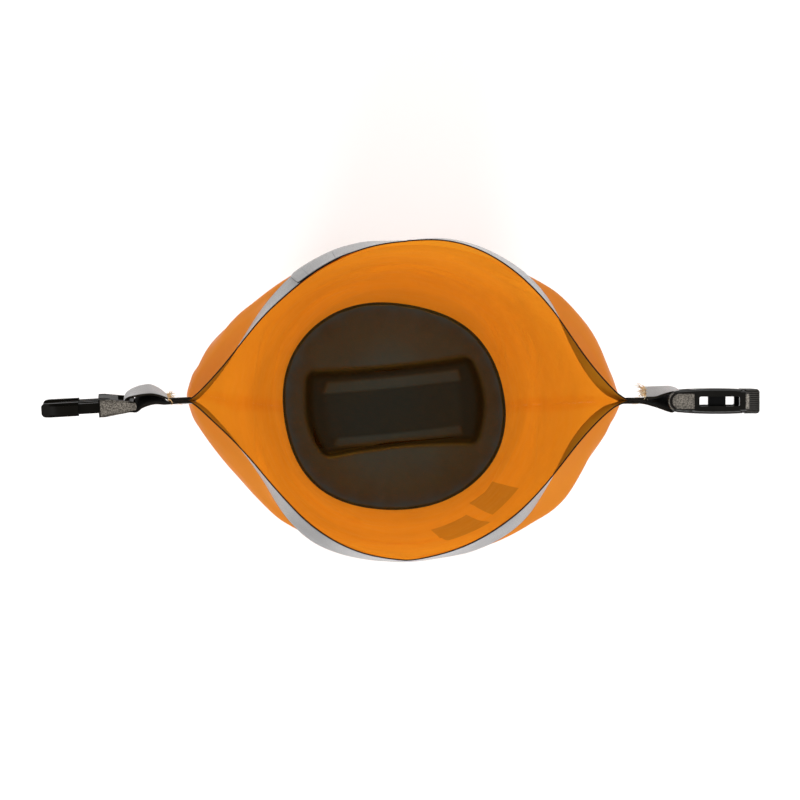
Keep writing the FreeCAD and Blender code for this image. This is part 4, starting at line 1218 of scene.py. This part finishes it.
# Path of the folded webbing in each tab's plane: out along one side, round the bar,
# and back as a slack flap. Every stop has X, Y and the twist of the strip there.
TAB_PATHS = {
    "plug": (
        (-4.0, 1.15, 0.0), (5.0, 1.15, 0.0), (8.6, 0.95, -2.0), (11.5, -0.8, -11.0),
        (14.5, -2.6, -17.0), (17.5, -3.5, -21.0), (21.0, -3.2, -24.0), (24.2, -2.0, -24.0),
        (25.6, 0.4, -20.0), (27.0, 2.6, -11.0), (28.6, 3.2, -6.0), (30.8, 2.3, -5.0),
        (31.9, 0.0, -4.0), (31.9, -2.2, -5.0), (31.4, -3.9, -7.0), (29.8, -5.1, -9.5),
        (27.0, -6.0, -12.0), (23.5, -6.9, -13.5), (18.0, -7.3, -14.5), (13.5, -5.6, -12.0),
        (9.4, -2.8, -8.0),
    ),
    "socket": (
        (-4.0, -1.15, 0.0), (4.0, -1.15, 0.0), (7.6, -0.9, 3.0), (10.0, 0.4, 13.0),
        (13.0, 0.8, 18.5), (16.0, 0.4, 22.0), (19.5, -0.5, 24.0), (22.5, -2.4, 20.0),
        (25.1, -3.15, 6.0), (27.5, -2.0, 2.0), (28.4, 0.2, 2.0), (28.2, 3.0, 2.5),
        (26.6, 5.4, 4.0), (23.5, 6.2, 7.0), (21.0, 6.2, 9.5), (17.5, 5.6, 11.5),
        (13.4, 4.7, 15.0), (8.4, 4.6, 15.0),
    ),
}


def resample_path(points, step):
    """Even steps along the X and Y of a path; the twist follows."""
    points = np.array(points, float)
    gaps = np.linalg.norm(np.diff(points[:, :2], axis=0), axis=1)
    lengths = np.concatenate([[0.0], np.cumsum(gaps)])
    count = max(int(lengths[-1] / step), 4)
    wanted = np.linspace(0.0, lengths[-1], count)
    return np.stack([np.interp(wanted, lengths, points[:, k]) for k in range(points.shape[1])], 1)


def sweep_tab(tab, path, half_width, outer):
    """Webbing along a path in the plane of a tab."""
    centres, normals, widths = [], [], []
    last = len(path) - 1
    for index, (x_pos, y_pos, degrees) in enumerate(path):
        before, after = path[max(index - 1, 0)], path[min(index + 1, last)]
        ahead = after[:2] - before[:2]
        ahead = ahead / np.linalg.norm(ahead)
        side = np.array([-ahead[1], ahead[0]])
        twist = math.radians(degrees)
        centre = tab.world(x_pos, y_pos, 0.0, twist)
        beside = tab.world(x_pos + side[0] * 0.01, y_pos + side[1] * 0.01, 0.0, twist) - centre
        above = tab.world(x_pos, y_pos, 1.0, twist) - centre
        width = above / np.linalg.norm(above)
        normal = beside - width * beside.dot(width)
        normal /= np.linalg.norm(normal)
        centres.append(centre)
        normals.append(normal)
        widths.append(width)
    section = rounded_section(0.5, half_width, 0.36)
    return strap_points(centres, normals, widths, section, None, outer)


def fringe(thread, tab, end, seed, outward):
    """Frayed thread ends along the cut end of the flap."""
    rng = np.random.default_rng(seed)
    twist = math.radians(end[2])
    for _ in range(96):
        across = rng.uniform(-12.0, 12.6)
        start = np.array([end[0] + rng.uniform(-0.6, 0.8), end[1] + rng.uniform(-0.5, 0.5), across])
        back, aside, up = rng.uniform(-1.0, -0.25), rng.uniform(-0.75, 0.5), rng.uniform(-0.3, 0.7)
        aim = np.array([back, outward * aside, up])
        aim /= np.linalg.norm(aim)
        curl = rng.normal(0.0, 0.8, 3)
        reach = rng.uniform(1.2, 4.8)
        line = []
        for step in range(8):
            part = step / 7.0
            local = start + aim * reach * part + curl * part * part
            local += 0.25 * np.sin(part * 9.0 + curl) * part
            line.append(tab.world(local[0], local[1], local[2], twist))
        tube(thread, line, 0.20, 0.12)


def build_tab(side, length, roll, kind, seed):
    """Folded webbing of one tab, its stitches and the frayed end of its flap."""
    tab = Tab(side, length, roll)
    path = relax(resample_path(TAB_PATHS[kind], 0.45), 14)
    end = path[-1]
    outward = 1.0 if kind == "socket" else -1.0
    soup = Soup()
    soup.add(*sweep_tab(tab, path, 12.4, -outward))
    # The two ends of the mouth webbing lie beside the fold and are sewn into it.
    middle = ((-4.0, 0.05, 0.0), (6.0, 0.05, 0.0), (8.4, 0.05, 0.0))
    soup.add(*sweep_tab(tab, resample_path(middle, 0.6), 12.2, -outward))
    beside = ((-4.0, 1.15 * outward, 0.0), (5.0, 1.2 * outward, 0.0), (8.9, 1.25 * outward, 0.0))
    soup.add(*sweep_tab(tab, resample_path(beside, 0.6), 12.0, outward))
    strap = soup.make(kind + "_tab_strap", WEBBING, None)
    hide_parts(kind + "_tab_webbing")
    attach(strap, kind + "_tab")
    thread = Soup()
    for x_pos in (2.6, 7.2):
        for across in np.arange(-9.6, 9.7, 2.4):
            for face in (-1.0, 1.0):
                depth = 1.70 * face
                spot = tab.world(x_pos, depth, across, 0.0)
                ahead = tab.world(x_pos, depth, across + 1.0, 0.0) - spot
                ahead /= np.linalg.norm(ahead)
                out = tab.world(x_pos, depth + 0.1 * face, across, 0.0) - spot
                out /= np.linalg.norm(out)
                stitch(thread, spot, ahead, out, 1.9, 0.5, 0.0)
    fringe(thread, tab, end, seed, outward)
    piece = thread.make(kind + "_tab_thread", BRIGHT_THREAD, kind + "_tab")
    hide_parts(kind + "_tab_stitching")
    return tab


plug_tab = build_tab(-1.0, PLUG_TAB, PLUG_ROLL, "plug", 23)
socket_tab = build_tab(1.0, SOCKET_TAB, SOCKET_ROLL, "socket", 11)

# ---------------------------------------------------------------- buckle halves

socket_plastic = buckle_material(
    "buckle_socket_black", socket_tab, grip_end=8.4, grip_half=4.2, rib_start=34.6, matt_share=0.5
)
# The plug half is too short to reach its rib_start: it has no ribs.
plug_plastic = buckle_material(
    "buckle_plug_black", plug_tab, grip_end=16.2, grip_half=4.2, rib_start=90.0, matt_share=0.82
)
for node, material in (
    ("socket_body", socket_plastic),
    ("plug_frame", plug_plastic),
    ("plug_arm_upper", plug_plastic),
    ("plug_arm_lower", plug_plastic),
):
    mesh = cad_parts[node].data
    mesh.materials.clear()
    mesh.materials.append(material)

# ---------------------------------------------------------------- stage, light, camera


def build_stage():
    """Pale floor, which is not part of the object."""
    n = Nodes("floor_pale")
    cloud = n.noise(n.coords(), 3.0, 2.0)
    paint = n.surface(0.6)
    tint = n.ramp(cloud, [(0.0, (0.95, 0.95, 0.95)), (1.0, (0.97, 0.97, 0.97))])
    n.link(tint, paint.inputs["Base Color"])
    material = n.done(paint.outputs[0])
    mesh = bpy.data.meshes.new("floor")
    mesh.from_pydata([(-4, -4, 0), (4, -4, 0), (4, 4, 0), (-4, 4, 0)], [], [(0, 1, 2, 3)])
    mesh.materials.append(material)
    floor = bpy.data.objects.new("floor", mesh)
    bpy.context.scene.collection.objects.link(floor)


def area_light(name, position, size, power):
    """Round soft lamp aimed at the middle of the bag."""
    data = bpy.data.lights.new(name, "AREA")
    data.shape = "DISK"
    data.size = size
    data.energy = power
    lamp = bpy.data.objects.new(name, data)
    bpy.context.scene.collection.objects.link(lamp)
    lamp.location = position
    aim = Vector((0.0, 0.0, 0.25)) - Vector(position)
    lamp.rotation_euler = aim.to_track_quat("-Z", "Y").to_euler()


def build_world():
    """Bright round the sides and darker overhead, as between tall soft boxes."""
    world = bpy.data.worlds.new("studio")
    world.use_nodes = True
    tree = world.node_tree
    tree.nodes.clear()
    place = tree.nodes.new("ShaderNodeTexCoord")
    split = tree.nodes.new("ShaderNodeSeparateXYZ")
    ramp = tree.nodes.new("ShaderNodeValToRGB")
    sky = tree.nodes.new("ShaderNodeBackground")
    output = tree.nodes.new("ShaderNodeOutputWorld")
    tree.links.new(place.outputs["Generated"], split.inputs[0])
    tree.links.new(split.outputs[2], ramp.inputs[0])
    tree.links.new(ramp.outputs[0], sky.inputs["Color"])
    tree.links.new(sky.outputs[0], output.inputs["Surface"])
    elements = ramp.color_ramp.elements
    elements[0].position, elements[0].color = 0.60, (1.0, 1.0, 1.0, 1.0)
    elements[1].position, elements[1].color = 0.92, (0.40, 0.40, 0.40, 1.0)
    sky.inputs["Strength"].default_value = 1.03
    bpy.context.scene.world = world


build_stage()
build_world()
area_light("key", (-0.15, -1.45, 2.05), 1.0, 24.0)
# Ring of fainter lamps: direction in degrees and power.
RING = ((25.0, 5.0), (90.0, 12.0), (155.0, 4.0), (205.0, 3.0), (335.0, 5.0))
RING_RADIUS = 1.9
for index, (turn, power) in enumerate(RING):
    x_pos = RING_RADIUS * math.cos(math.radians(turn))
    y_pos = RING_RADIUS * math.sin(math.radians(turn))
    area_light("ring_%d" % index, (x_pos, y_pos, 1.6), 1.1, power)

# Camera above the mouth, in millimetres; the tilts put the bag off the middle.
SENSOR = 36.0
LENS = 51.165
CAMERA_SPOT = Vector((-21.2, -7.8, 1051.0))
tilt_x = math.atan2(-1.35, LENS)
tilt_y = math.atan2(-0.675, LENS)
ahead = Vector((-math.sin(tilt_x), -math.sin(tilt_y), -1.0)).normalized()
right = ahead.cross(Vector((0.0, 1.0, 0.0))).normalized()
up = right.cross(ahead)
camera_data = bpy.data.cameras.new("camera")
camera_data.sensor_width = SENSOR
camera_data.lens = LENS
camera_data.clip_end = 50.0
camera = bpy.data.objects.new("camera", camera_data)
bpy.context.scene.collection.objects.link(camera)
turn = Matrix((right, up, -ahead)).transposed().to_4x4()
camera.matrix_world = Matrix.Translation(CAMERA_SPOT * MM) @ turn
bpy.context.scene.camera = camera
bpy.context.scene.view_settings.view_transform = "Standard"
